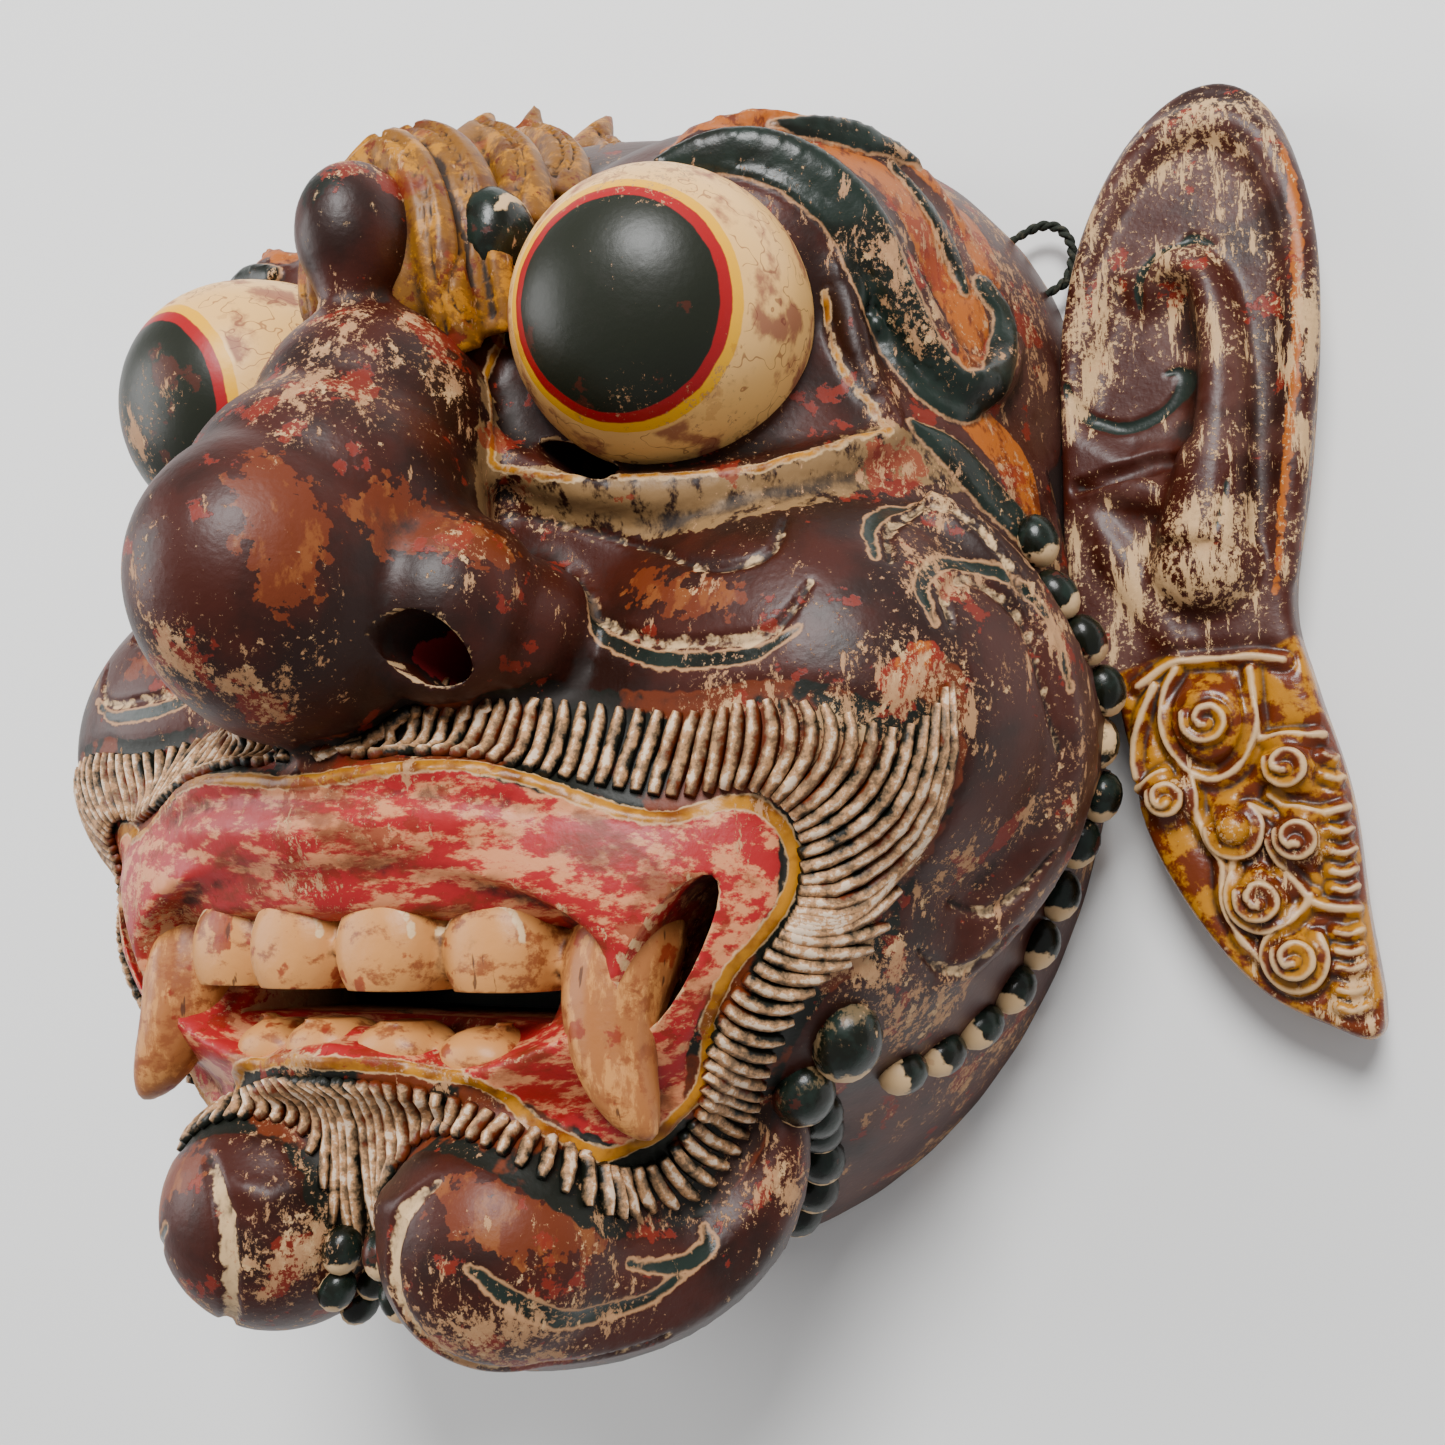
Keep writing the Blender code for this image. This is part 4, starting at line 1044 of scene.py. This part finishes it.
class Coats:
    """A material whose colour is laid on as coats, each over the last."""

    def __init__(self, name, colour, roughness):
        self.material = bpy.data.materials.new(name)
        self.material.use_nodes = True
        self.nodes = self.material.node_tree.nodes
        self.links = self.material.node_tree.links
        self.shader = self.nodes["Principled BSDF"]
        self.where = self.nodes.new("ShaderNodeTexCoord").outputs["Object"]
        self.colour = self.tint(colour)
        self.rough = self.value(roughness)
        self.height = self.value(0.0)
        self.shader.inputs["Specular IOR Level"].default_value = GLOSS

    def tint(self, colour):
        node = self.nodes.new("ShaderNodeRGB")
        node.outputs[0].default_value = (*colour, 1)
        return node.outputs[0]

    def value(self, number):
        node = self.nodes.new("ShaderNodeValue")
        node.outputs[0].default_value = number
        return node.outputs[0]

    def reckon(self, operation, *terms):
        """One step of arithmetic on values or numbers."""
        node = self.nodes.new("ShaderNodeMath")
        node.operation = operation
        for socket, term in zip(node.inputs, terms):
            if isinstance(term, (int, float)):
                socket.default_value = term
            else:
                self.links.new(term, socket)
        return node.outputs[0]

    def cloud(self, size, detail=3.0, stretch=(1, 1, 1), roughness=0.55):
        """Noise from 0 to 1, with clouds of about this size in parts."""
        mapping = self.nodes.new("ShaderNodeMapping")
        mapping.inputs["Scale"].default_value = stretch
        self.links.new(self.where, mapping.inputs["Vector"])
        noise_node = self.nodes.new("ShaderNodeTexNoise")
        noise_node.inputs["Scale"].default_value = 1 / (size * PART)
        noise_node.inputs["Detail"].default_value = detail
        noise_node.inputs["Roughness"].default_value = roughness
        self.links.new(mapping.outputs[0], noise_node.inputs["Vector"])
        return noise_node.outputs["Fac"]

    def plus(self, value, other, share=1.0):
        """A value with a share of another added."""
        return self.reckon("ADD", value, self.reckon("MULTIPLY", other, share))

    def uneven(self, size, detail=3.0, stretch=(1, 1, 1), roughness=0.55):
        """Noise about zero."""
        return self.reckon("SUBTRACT", self.cloud(size, detail, stretch, roughness), 0.5)

    def patches(self, low, high, size, detail=3.0, stretch=(1, 1, 1), roughness=0.55):
        """A mask of cloudy patches, which starts where the noise passes low and is full at high."""
        return self.step(self.cloud(size, detail, stretch, roughness), low, high)

    def two_tone(self, colour, other, mask):
        """One colour, with another where the mask is 1."""
        return self.mix("RGBA", mask, self.tint(colour), self.tint(other))

    def field(self, name):
        node = self.nodes.new("ShaderNodeAttribute")
        node.attribute_name = name
        return node.outputs["Fac"]

    def along(self, axis):
        """The place along one axis, in parts."""
        node = self.nodes.new("ShaderNodeSeparateXYZ")
        self.links.new(self.where, node.inputs[0])
        return self.reckon("DIVIDE", node.outputs[axis], PART)

    def step(self, value, low, high):
        """A soft step from 0 at low to 1 at high."""
        node = self.nodes.new("ShaderNodeMapRange")
        node.interpolation_type = "SMOOTHSTEP"
        node.inputs["From Min"].default_value = low
        node.inputs["From Max"].default_value = high
        self.links.new(value, node.inputs["Value"])
        return node.outputs[0]

    def mix(self, kind, mask, under, over):
        node = self.nodes.new("ShaderNodeMix")
        node.data_type = kind
        inputs = [socket for socket in node.inputs if socket.enabled]
        outputs = [socket for socket in node.outputs if socket.enabled]
        for socket, source in zip(inputs, (mask, under, over)):
            if isinstance(source, (int, float)):
                socket.default_value = source
            else:
                self.links.new(source, socket)
        return outputs[0]

    def coat(self, colour, mask, rough=None, height=None, strength=1.0):
        """Lays a coat of one colour, or of a mixed colour, where the mask is 1."""
        over = self.tint(colour) if isinstance(colour, tuple) else colour
        if strength != 1:
            mask = self.reckon("MULTIPLY", mask, strength)
        self.colour = self.mix("RGBA", mask, self.colour, over)
        if rough is not None:
            self.rough = self.mix("FLOAT", mask, self.rough, rough)
        if height is not None:
            self.height = self.plus(self.height, mask, height)

    def brushed(self, name, ragged=SPREAD, grow=0.0):
        """The mask of a stroke, with a slightly uneven edge."""
        edge = self.plus(self.reckon("ADD", self.field(name), grow), self.uneven(2.2, 6), 3 * ragged)
        return self.step(edge, -BRUSH_EDGE, BRUSH_EDGE)

    def finish(self, bump=0.35, reach=0.4):
        self.links.new(self.colour, self.shader.inputs["Base Color"])
        self.links.new(self.rough, self.shader.inputs["Roughness"])
        node = self.nodes.new("ShaderNodeBump")
        node.inputs["Strength"].default_value = bump
        node.inputs["Distance"].default_value = reach * PART
        self.links.new(self.height, node.inputs["Height"])
        self.links.new(node.outputs[0], self.shader.inputs["Normal"])
        return self.material


def times(coats, *masks):
    result = masks[0]
    for mask in masks[1:]:
        result = coats.reckon("MULTIPLY", result, mask)
    return result


# %% [markdown]
# The same age lies on every painted piece. Where hands and weather worked, the top coat is gone: first the
# red ground shows in patches, then a cream ground in flakes, and last in ragged streaks that run the way the
# wood was rubbed. Proud edges are pale, partly from rubbing and partly as a painted highlight, and the
# recesses are darkened. One function adds it all, with its strength for each piece.

# %% Age and wear
CREAM_GROUND, DUSTY_GROUND, RED_GROUND = (0.58, 0.36, 0.17), (0.42, 0.22, 0.10), (0.20, 0.014, 0.004)
RECESS_DARK = (0.012, 0.007, 0.005)
REGION, PATCH, FLAKE = 24, 9, 2.6
FLAKE_LIMIT, RUBBED_SHARE, FLAKE_EDGE = 0.21, 0.05, 0.02
LONG_STREAK, SHORT_STREAK = (3.0, 0.20), (1.0, 0.21)
SCRATCHED_SHARE, STREAK_EDGE = 0.065, 0.025
EVEN_RUN = (1, 1, 1)
WORN_ROUGHNESS = 0.6
FINE_GRAIN, TOOL_MARKS = (1.0, 4, 0.45), (7, 3, 1.3)


def aged(coats, rubbed=1.0, scratched=1.0, recess_darkening=1.0, run=(1, 0.3, 1), more=0.0, pale=DUSTY_GROUND,
         spared=0.0):
    """Wears the coats. More adds wear everywhere or by a mask, and spared keeps the red patches away."""
    stands = coats.field("relief")
    region = coats.uneven(REGION)
    ragged = coats.uneven(FLAKE, 10, (1, 0.7, 1), 0.72)
    # The recesses are darkened: the lower a corner's relief, the darker, broken up by ragged noise.
    sunk = coats.step(coats.reckon("SUBTRACT", coats.reckon("MULTIPLY", ragged, 0.9), stands), 0.1, 0.5)
    coats.coat(RECESS_DARK, sunk, rough=0.7, strength=0.85 * recess_darkening)

    patches = coats.step(coats.plus(coats.uneven(PATCH, 8, roughness=0.62), region, 0.5), 0.10, 0.12)
    shown = times(coats, patches, coats.reckon("SUBTRACT", 1.0, spared))
    coats.coat(RED_GROUND, shown, rough=0.5, height=-0.3, strength=0.7 * rubbed)

    worn = coats.plus(coats.reckon("ADD", coats.plus(ragged, region, 0.7), more), stands, 0.08)
    limit = FLAKE_LIMIT - RUBBED_SHARE * rubbed
    flakes = coats.step(worn, limit, limit + FLAKE_EDGE)
    ground = coats.two_tone(CREAM_GROUND, DUSTY_GROUND, coats.patches(0.44, 0.60, 5, 6, roughness=0.7))
    coats.coat(ground, flakes, rough=WORN_ROUGHNESS, height=-0.6, strength=0.85)

    # Proud edges turn cream: partly rubbed-through wear, partly a painted highlight along the crests.
    edges = coats.step(coats.plus(stands, ragged, 3.6), 0.7, 1.0)
    coats.coat(CREAM_GROUND, edges, rough=WORN_ROUGHNESS, height=-0.3, strength=0.7 * min(rubbed, 1))

    for (size, limit), stretch in ((LONG_STREAK, run), (SHORT_STREAK, EVEN_RUN)):
        streak = coats.reckon("ADD", coats.plus(coats.uneven(size, 9, stretch, 0.75), region, 0.55), more)
        limit -= SCRATCHED_SHARE * scratched
        mask = coats.step(streak, limit, limit + STREAK_EDGE)
        coats.coat(pale, mask, rough=WORN_ROUGHNESS, height=-0.25, strength=0.85)
    for size, detail, rise in (FINE_GRAIN, TOOL_MARKS):
        coats.height = coats.plus(coats.height, coats.cloud(size, detail), rise)


# %% [markdown]
# The head is maroon, greyer and more violet on its low sides. Red-orange ground shows in patches. Then come
# the colours of the carved lines, and last the age of it all. Inside the hollow the wood is bare and dark.

# %% Pots of paint
MAROON, DARK_MAROON, MAUVE = (0.042, 0.006, 0.002), (0.015, 0.003, 0.001), (0.080, 0.030, 0.022)
ORANGE_PAINT, RUST = (0.34, 0.085, 0.006), (0.12, 0.020, 0.003)
BLUE_GREEN, BLACK_GREEN = (0.010, 0.018, 0.013), (0.005, 0.006, 0.003)
GOLD_PAINT, DEEP_GOLD = (0.40, 0.16, 0.006), (0.16, 0.042, 0.003)
CREAM_PAINT, GREY_CREAM = (0.62, 0.41, 0.21), (0.22, 0.125, 0.05)
LIP_RED, LIP_PALE = (0.32, 0.010, 0.012), (0.56, 0.21, 0.09)
WORN_ORANGE, FLESH_RED = (0.19, 0.052, 0.010), (0.26, 0.014, 0.018)
BARE_WOOD, DARK_WOOD = (0.13, 0.062, 0.030), (0.05, 0.024, 0.014)

# %% Ground coats of the head
BRUSHED_COATS = (
    ("orange", ORANGE_PAINT, RUST, 0.6),
    ("grey", GREY_CREAM, DARK_MAROON, 2.2),
    ("red", RED_GROUND, ORANGE_PAINT, 1.2),
    ("worn", RUST, WORN_ORANGE, 5),
    ("flower", BLACK_GREEN, DARK_MAROON, 3),
)
coats = Coats("painted_face", MAROON, 0.42)
coats.coat(DARK_MAROON, coats.patches(0.42, 0.62, 20, 5))
low_side = coats.step(coats.along("Z"), 62, 30)
coats.coat(MAUVE, times(coats, low_side, coats.patches(0.30, 0.60, 12, 5)), rough=0.48, strength=0.9)
for name, colour, deep, ragged in BRUSHED_COATS:
    streaked = coats.two_tone(colour, deep, coats.patches(0.50, 0.60, 4, 8, (1, 0.5, 1), 0.68))
    coats.coat(streaked, coats.brushed(name, ragged), rough=0.45)

# %% Lips, hair ground and carved lines of the head
lips = coats.two_tone(LIP_RED, LIP_PALE, coats.patches(0.48, 0.56, 4, 9, (0.3, 1, 1), 0.70))
coats.coat(lips, coats.brushed("lip"), rough=0.42)
soiled = coats.patches(0.52, 0.62, 14, 8, (0.5, 1, 1), 0.65)
coats.coat(RUST, times(coats, coats.brushed("lip"), soiled), rough=0.5, strength=0.75)
hair_ground = coats.two_tone(BLACK_GREEN, RUST, coats.patches(0.50, 0.54, 16, 5))
coats.coat(hair_ground, coats.brushed("hair"), rough=0.5)
coats.coat(DUSTY_GROUND, coats.brushed("green", 0.7, 0.45), rough=0.5, strength=0.85)
# Besides the brow bands, the green strokes hold three lines of painted shadow below cream marks.
green = coats.two_tone(BLUE_GREEN, BLACK_GREEN, coats.patches(0.4, 0.62, 12, 4))
coats.coat(green, coats.brushed("green", 0.3), rough=0.3)
coats.coat(CREAM_PAINT, coats.brushed("cream", 0.7), rough=0.5, strength=0.9)
coats.coat(CREAM_PAINT, coats.brushed("gold", 0.7, 0.22), rough=0.5, strength=0.75)
gold = coats.two_tone(GOLD_PAINT, DEEP_GOLD, coats.patches(0.4, 0.65, 6, 4))
coats.coat(gold, coats.brushed("gold", 0.3), rough=0.34)

# %% Age of the head and its bare hollow
outer_side = coats.step(coats.reckon("ABSOLUTE", coats.along("X")), 55, 90)
under_chin = coats.step(coats.along("Y"), -60, -85)
more = coats.reckon("MULTIPLY", coats.reckon("ADD", outer_side, under_chin), 0.018)
aged(coats, scratched=1.3, more=more, spared=coats.brushed("green", 0.3, 0.5))
coats.coat(FLESH_RED, coats.brushed("flesh", 1.2), rough=0.45)
wood = coats.two_tone(BARE_WOOD, DARK_WOOD, coats.patches(0.35, 0.65, 3, 5, (1, 0.12, 1)))
coats.coat(wood, coats.step(coats.field("bare"), 0, 0.1), rough=0.75)
face_paint = coats.finish()

# %% [markdown]
# The smaller pieces get coats of their own, from the same pots of paint: cream crests on dark hair, black
# beads with a cream crescent, bone-coloured teeth, gilding on the crest and on the leaf earrings.

# %% Paint the hair, beads and volutes
HAIR_BROWN, HAIR_PALE = (0.17, 0.10, 0.05), (0.66, 0.49, 0.34)
coats = Coats("painted_hair", BLACK_GREEN, 0.45)
coats.coat(RUST, coats.patches(0.50, 0.54, 16, 5))
# Strand tops turn brown, dusty and pale: partly rubbed-through wear, partly a painted highlight on each
# crest.
crest_wear_and_highlight = coats.plus(coats.field("crest"), coats.uneven(3, 9, roughness=0.7), 3.0)
coats.coat(HAIR_BROWN, coats.step(crest_wear_and_highlight, 0.25, 0.6), rough=0.55)
coats.coat(DUSTY_GROUND, coats.step(crest_wear_and_highlight, 0.6, 0.8), rough=0.55)
coats.coat(HAIR_PALE, coats.step(crest_wear_and_highlight, 0.9, 1.05), rough=0.5)
coats.height = coats.cloud(1.0, 4)
hair_paint = coats.finish()

coats = Coats("painted_beads", BLACK_GREEN, 0.26)
coats.coat(BLUE_GREEN, coats.patches(0.45, 0.62, 5, 3))
crescent = coats.step(coats.plus(coats.field("crescent"), coats.uneven(2.5, 6)), -0.12, 0.02)
coats.coat(CREAM_PAINT, crescent, rough=0.5)
aged(coats, rubbed=0.3, scratched=0.6, recess_darkening=0.3)
bead_paint = coats.finish()

# %% Paint the teeth
BONE, STAINED, TOOTH_DARK = (0.50, 0.215, 0.060), (0.24, 0.070, 0.020), (0.05, 0.016, 0.007)
coats = Coats("painted_teeth", BONE, 0.42)
coats.coat(STAINED, coats.patches(0.50, 0.60, 5, 9, (0.6, 1, 1), 0.70))
fangs = coats.step(coats.reckon("ABSOLUTE", coats.along("X")), 35, 39)
fang_stain = times(coats, fangs, coats.patches(0.42, 0.52, 4, 9, (1, 0.35, 1), 0.72))
coats.coat(STAINED, fang_stain, strength=0.7)
coats.coat(RED_GROUND, coats.patches(0.60, 0.64, 7, 7), strength=0.8)
# Darker between the teeth, where the relief is low; the same dark colour draws the cracks.
between = coats.step(coats.reckon("SUBTRACT", coats.uneven(3, 6), coats.field("relief")), 0.15, 0.5)
coats.coat(TOOTH_DARK, between, rough=0.6)
cracks = coats.patches(0.68, 0.72, 2.0, 3, (1, 0.15, 1))
coats.coat(TOOTH_DARK, cracks, rough=0.6, height=-0.4, strength=0.8)
coats.height = coats.plus(coats.height, coats.cloud(2, 4))
coats.coat(CREAM_PAINT, coats.brushed("gum", 0.5), rough=0.5)
tooth_paint = coats.finish(0.25)

# %% Paint the crest
OLD_GILDING, BROWN_GILDING = (0.19, 0.075, 0.008), (0.11, 0.036, 0.008)
coats = Coats("gilded_crest", OLD_GILDING, 0.45)
coats.coat(GOLD_PAINT, coats.patches(0.50, 0.58, 5, 8, (1, 1, 0.4), 0.70))
coats.coat(BROWN_GILDING, coats.patches(0.50, 0.60, 7, 8, (1, 1, 0.6), 0.7))
coats.coat(RUST, coats.patches(0.58, 0.62, 5, 8, roughness=0.7))
aged(coats, rubbed=0.6, recess_darkening=1.1)
crest_paint = coats.finish()

# %% Paint the ears
coats = Coats("painted_ear", MAROON, 0.4)
coats.coat(MAUVE, coats.patches(0.40, 0.62, 12, 5))
coats.coat(DARK_MAROON, coats.patches(0.52, 0.66, 20, 4), strength=0.8)
coats.coat(ORANGE_PAINT, coats.brushed("rim", 0.8), rough=0.4)
gilding = coats.two_tone(GOLD_PAINT, RUST, coats.patches(0.44, 0.54, 5, 6, roughness=0.62))
recesses = coats.step(coats.field("relief"), 0.1, -0.5)
gilding = coats.mix("RGBA", recesses, gilding, coats.tint(DARK_MAROON))
leaf = coats.step(coats.field("leaf"), -0.4, 0.4)
coats.coat(gilding, leaf, rough=0.26)
coats.coat(BLUE_GREEN, coats.brushed("green", 0.3), rough=0.35)
# Cream on the earring's raised ridges is a painted highlight.
cream = coats.step(coats.plus(coats.field("cream"), coats.uneven(3, 6)), -0.15, 0.35)
coats.coat(CREAM_PAINT, cream, rough=0.4, strength=0.85)
less_on_leaf = coats.reckon("MULTIPLY", leaf, -0.10)
aged(coats, 1.2, 2.7, run=(1, 0.16, 1), more=less_on_leaf, pale=CREAM_GROUND, spared=leaf)
ear_paint = coats.finish()

# %% [markdown]
# The pupils are painted in rings round the point where each eyeball looks. The distance from that point
# gives the rings, and one material serves both eyes because it reads the place with its side folded.

# %% Paint the eyes
EYE_POLE = (49.2, 39.7, 95.7)
PUPIL, EYE_RED = (0.010, 0.012, 0.006), (0.32, 0.005, 0.008)
EYE_YELLOW, EYE_WHITE = (0.78, 0.38, 0.004), (0.82, 0.47, 0.15)
EYE_SMUDGE, EYE_VEIN = (0.34, 0.13, 0.06), (0.16, 0.020, 0.015)
RINGS = ((16.6, EYE_RED), (18.5, EYE_YELLOW), (20.3, EYE_WHITE))
RING_EDGE = 0.12
coats = Coats("painted_eye", PUPIL, 0.38)
folded = coats.nodes.new("ShaderNodeVectorMath")
folded.operation = "ABSOLUTE"
coats.links.new(coats.where, folded.inputs[0])
away = coats.nodes.new("ShaderNodeVectorMath")
away.operation = "DISTANCE"
coats.links.new(folded.outputs["Vector"], away.inputs[0])
away.inputs[1].default_value = layout(*EYE_POLE)
chord = coats.plus(coats.reckon("DIVIDE", away.outputs["Value"], PART), coats.uneven(5, 5), 0.9)
for radius, colour in RINGS:
    coats.coat(colour, coats.step(chord, radius - RING_EDGE, radius + RING_EDGE), rough=0.38)
white = coats.step(chord, 20.6, 21.2)
coats.coat(EYE_SMUDGE, times(coats, white, coats.patches(0.50, 0.62, 8, 7)), rough=0.5)
veins = coats.step(coats.reckon("ABSOLUTE", coats.uneven(7, 2)), 0.010, 0.004)
coats.coat(EYE_VEIN, times(coats, white, veins), rough=0.5, strength=0.6)
aged(coats, rubbed=0.3, recess_darkening=0.5)
eye_paint = coats.finish(0.2)

# %% Paint the cord
CORD_BLACK, CORD_DUST = (0.014, 0.018, 0.012), (0.06, 0.055, 0.035)
coats = Coats("twisted_cord", CORD_BLACK, 0.8)
coats.coat(CORD_DUST, coats.patches(0.5, 0.7, 1.2, 4))
coats.height = coats.cloud(0.4, 2)
cord_paint = coats.finish(0.5)

# %% [markdown]
# Every piece takes its paint, is kept inside the box of the solids, and is tied to them: it rides on the
# mask's one body, and the solid it stands for is hidden.

# %% Dress the mask
on_head = ((head, face_paint), (hair, hair_paint), (beads, bead_paint), (teeth, tooth_paint),
           (crest, crest_paint), (volutes, bead_paint), (eyes[0], eye_paint), (eyes[1], eye_paint))
dressed = [(piece, paint, "mask_head", "painted_head") for piece, paint in on_head]
dressed += [(piece, ear_paint, node, "painted_ear") for piece, node in zip(ears, ("ear_right", "ear_left"))]
for piece, paint, node, slot in dressed:
    for corner in piece.data.vertices:
        corner.co = [min(max(value, low), high) for value, low, high in zip(corner.co, cad_low, cad_high)]
    piece.data.materials.clear()
    piece.data.materials.append(paint)
    hold(piece)
    bpy.ops.object.shade_smooth()
    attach(piece, "root")
    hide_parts(node)
tie_cord.data.materials.append(cord_paint)
print("pieces:", ", ".join(entry[0].name for entry in dressed))

# %% [markdown]
# The floor is plain and pale, and the light is soft: a broad key from high on the right, a weaker lamp from
# the left, and a pale world that fills the shadows.

# %% Floor and light
FLOOR_SIDE, FLOOR_PALE = 6.0, (0.78, 0.78, 0.77, 1)
WORLD_PALE, WORLD_STRENGTH = (0.93, 0.93, 0.95, 1), 0.5
bpy.ops.mesh.primitive_plane_add(size=FLOOR_SIDE, location=(0, 0, cad_low[2]))
floor = bpy.context.object
floor.name = "floor"
plain = bpy.data.materials.new("plain_floor")
plain.use_nodes = True
floor_shader = plain.node_tree.nodes["Principled BSDF"]
floor_shader.inputs["Base Color"].default_value = FLOOR_PALE
floor_shader.inputs["Roughness"].default_value = 0.8
floor.data.materials.append(plain)


def soft_light(name, place, size, power):
    bpy.ops.object.light_add(type="AREA", location=place)
    light = bpy.context.object
    light.name = name
    light.data.shape = "DISK"
    light.data.size = size
    light.data.energy = power
    light.rotation_euler = (-Vector(place)).to_track_quat("-Z", "Y").to_euler()


soft_light("key_light", (0.30, 0.60, 0.90), 0.5, 20)
soft_light("side_light", (-0.85, 0.15, 0.60), 0.7, 7)
world = bpy.data.worlds.new("pale_world")
world.use_nodes = True
background = world.node_tree.nodes["Background"]
background.inputs["Color"].default_value = WORLD_PALE
background.inputs["Strength"].default_value = WORLD_STRENGTH
bpy.context.scene.world = world
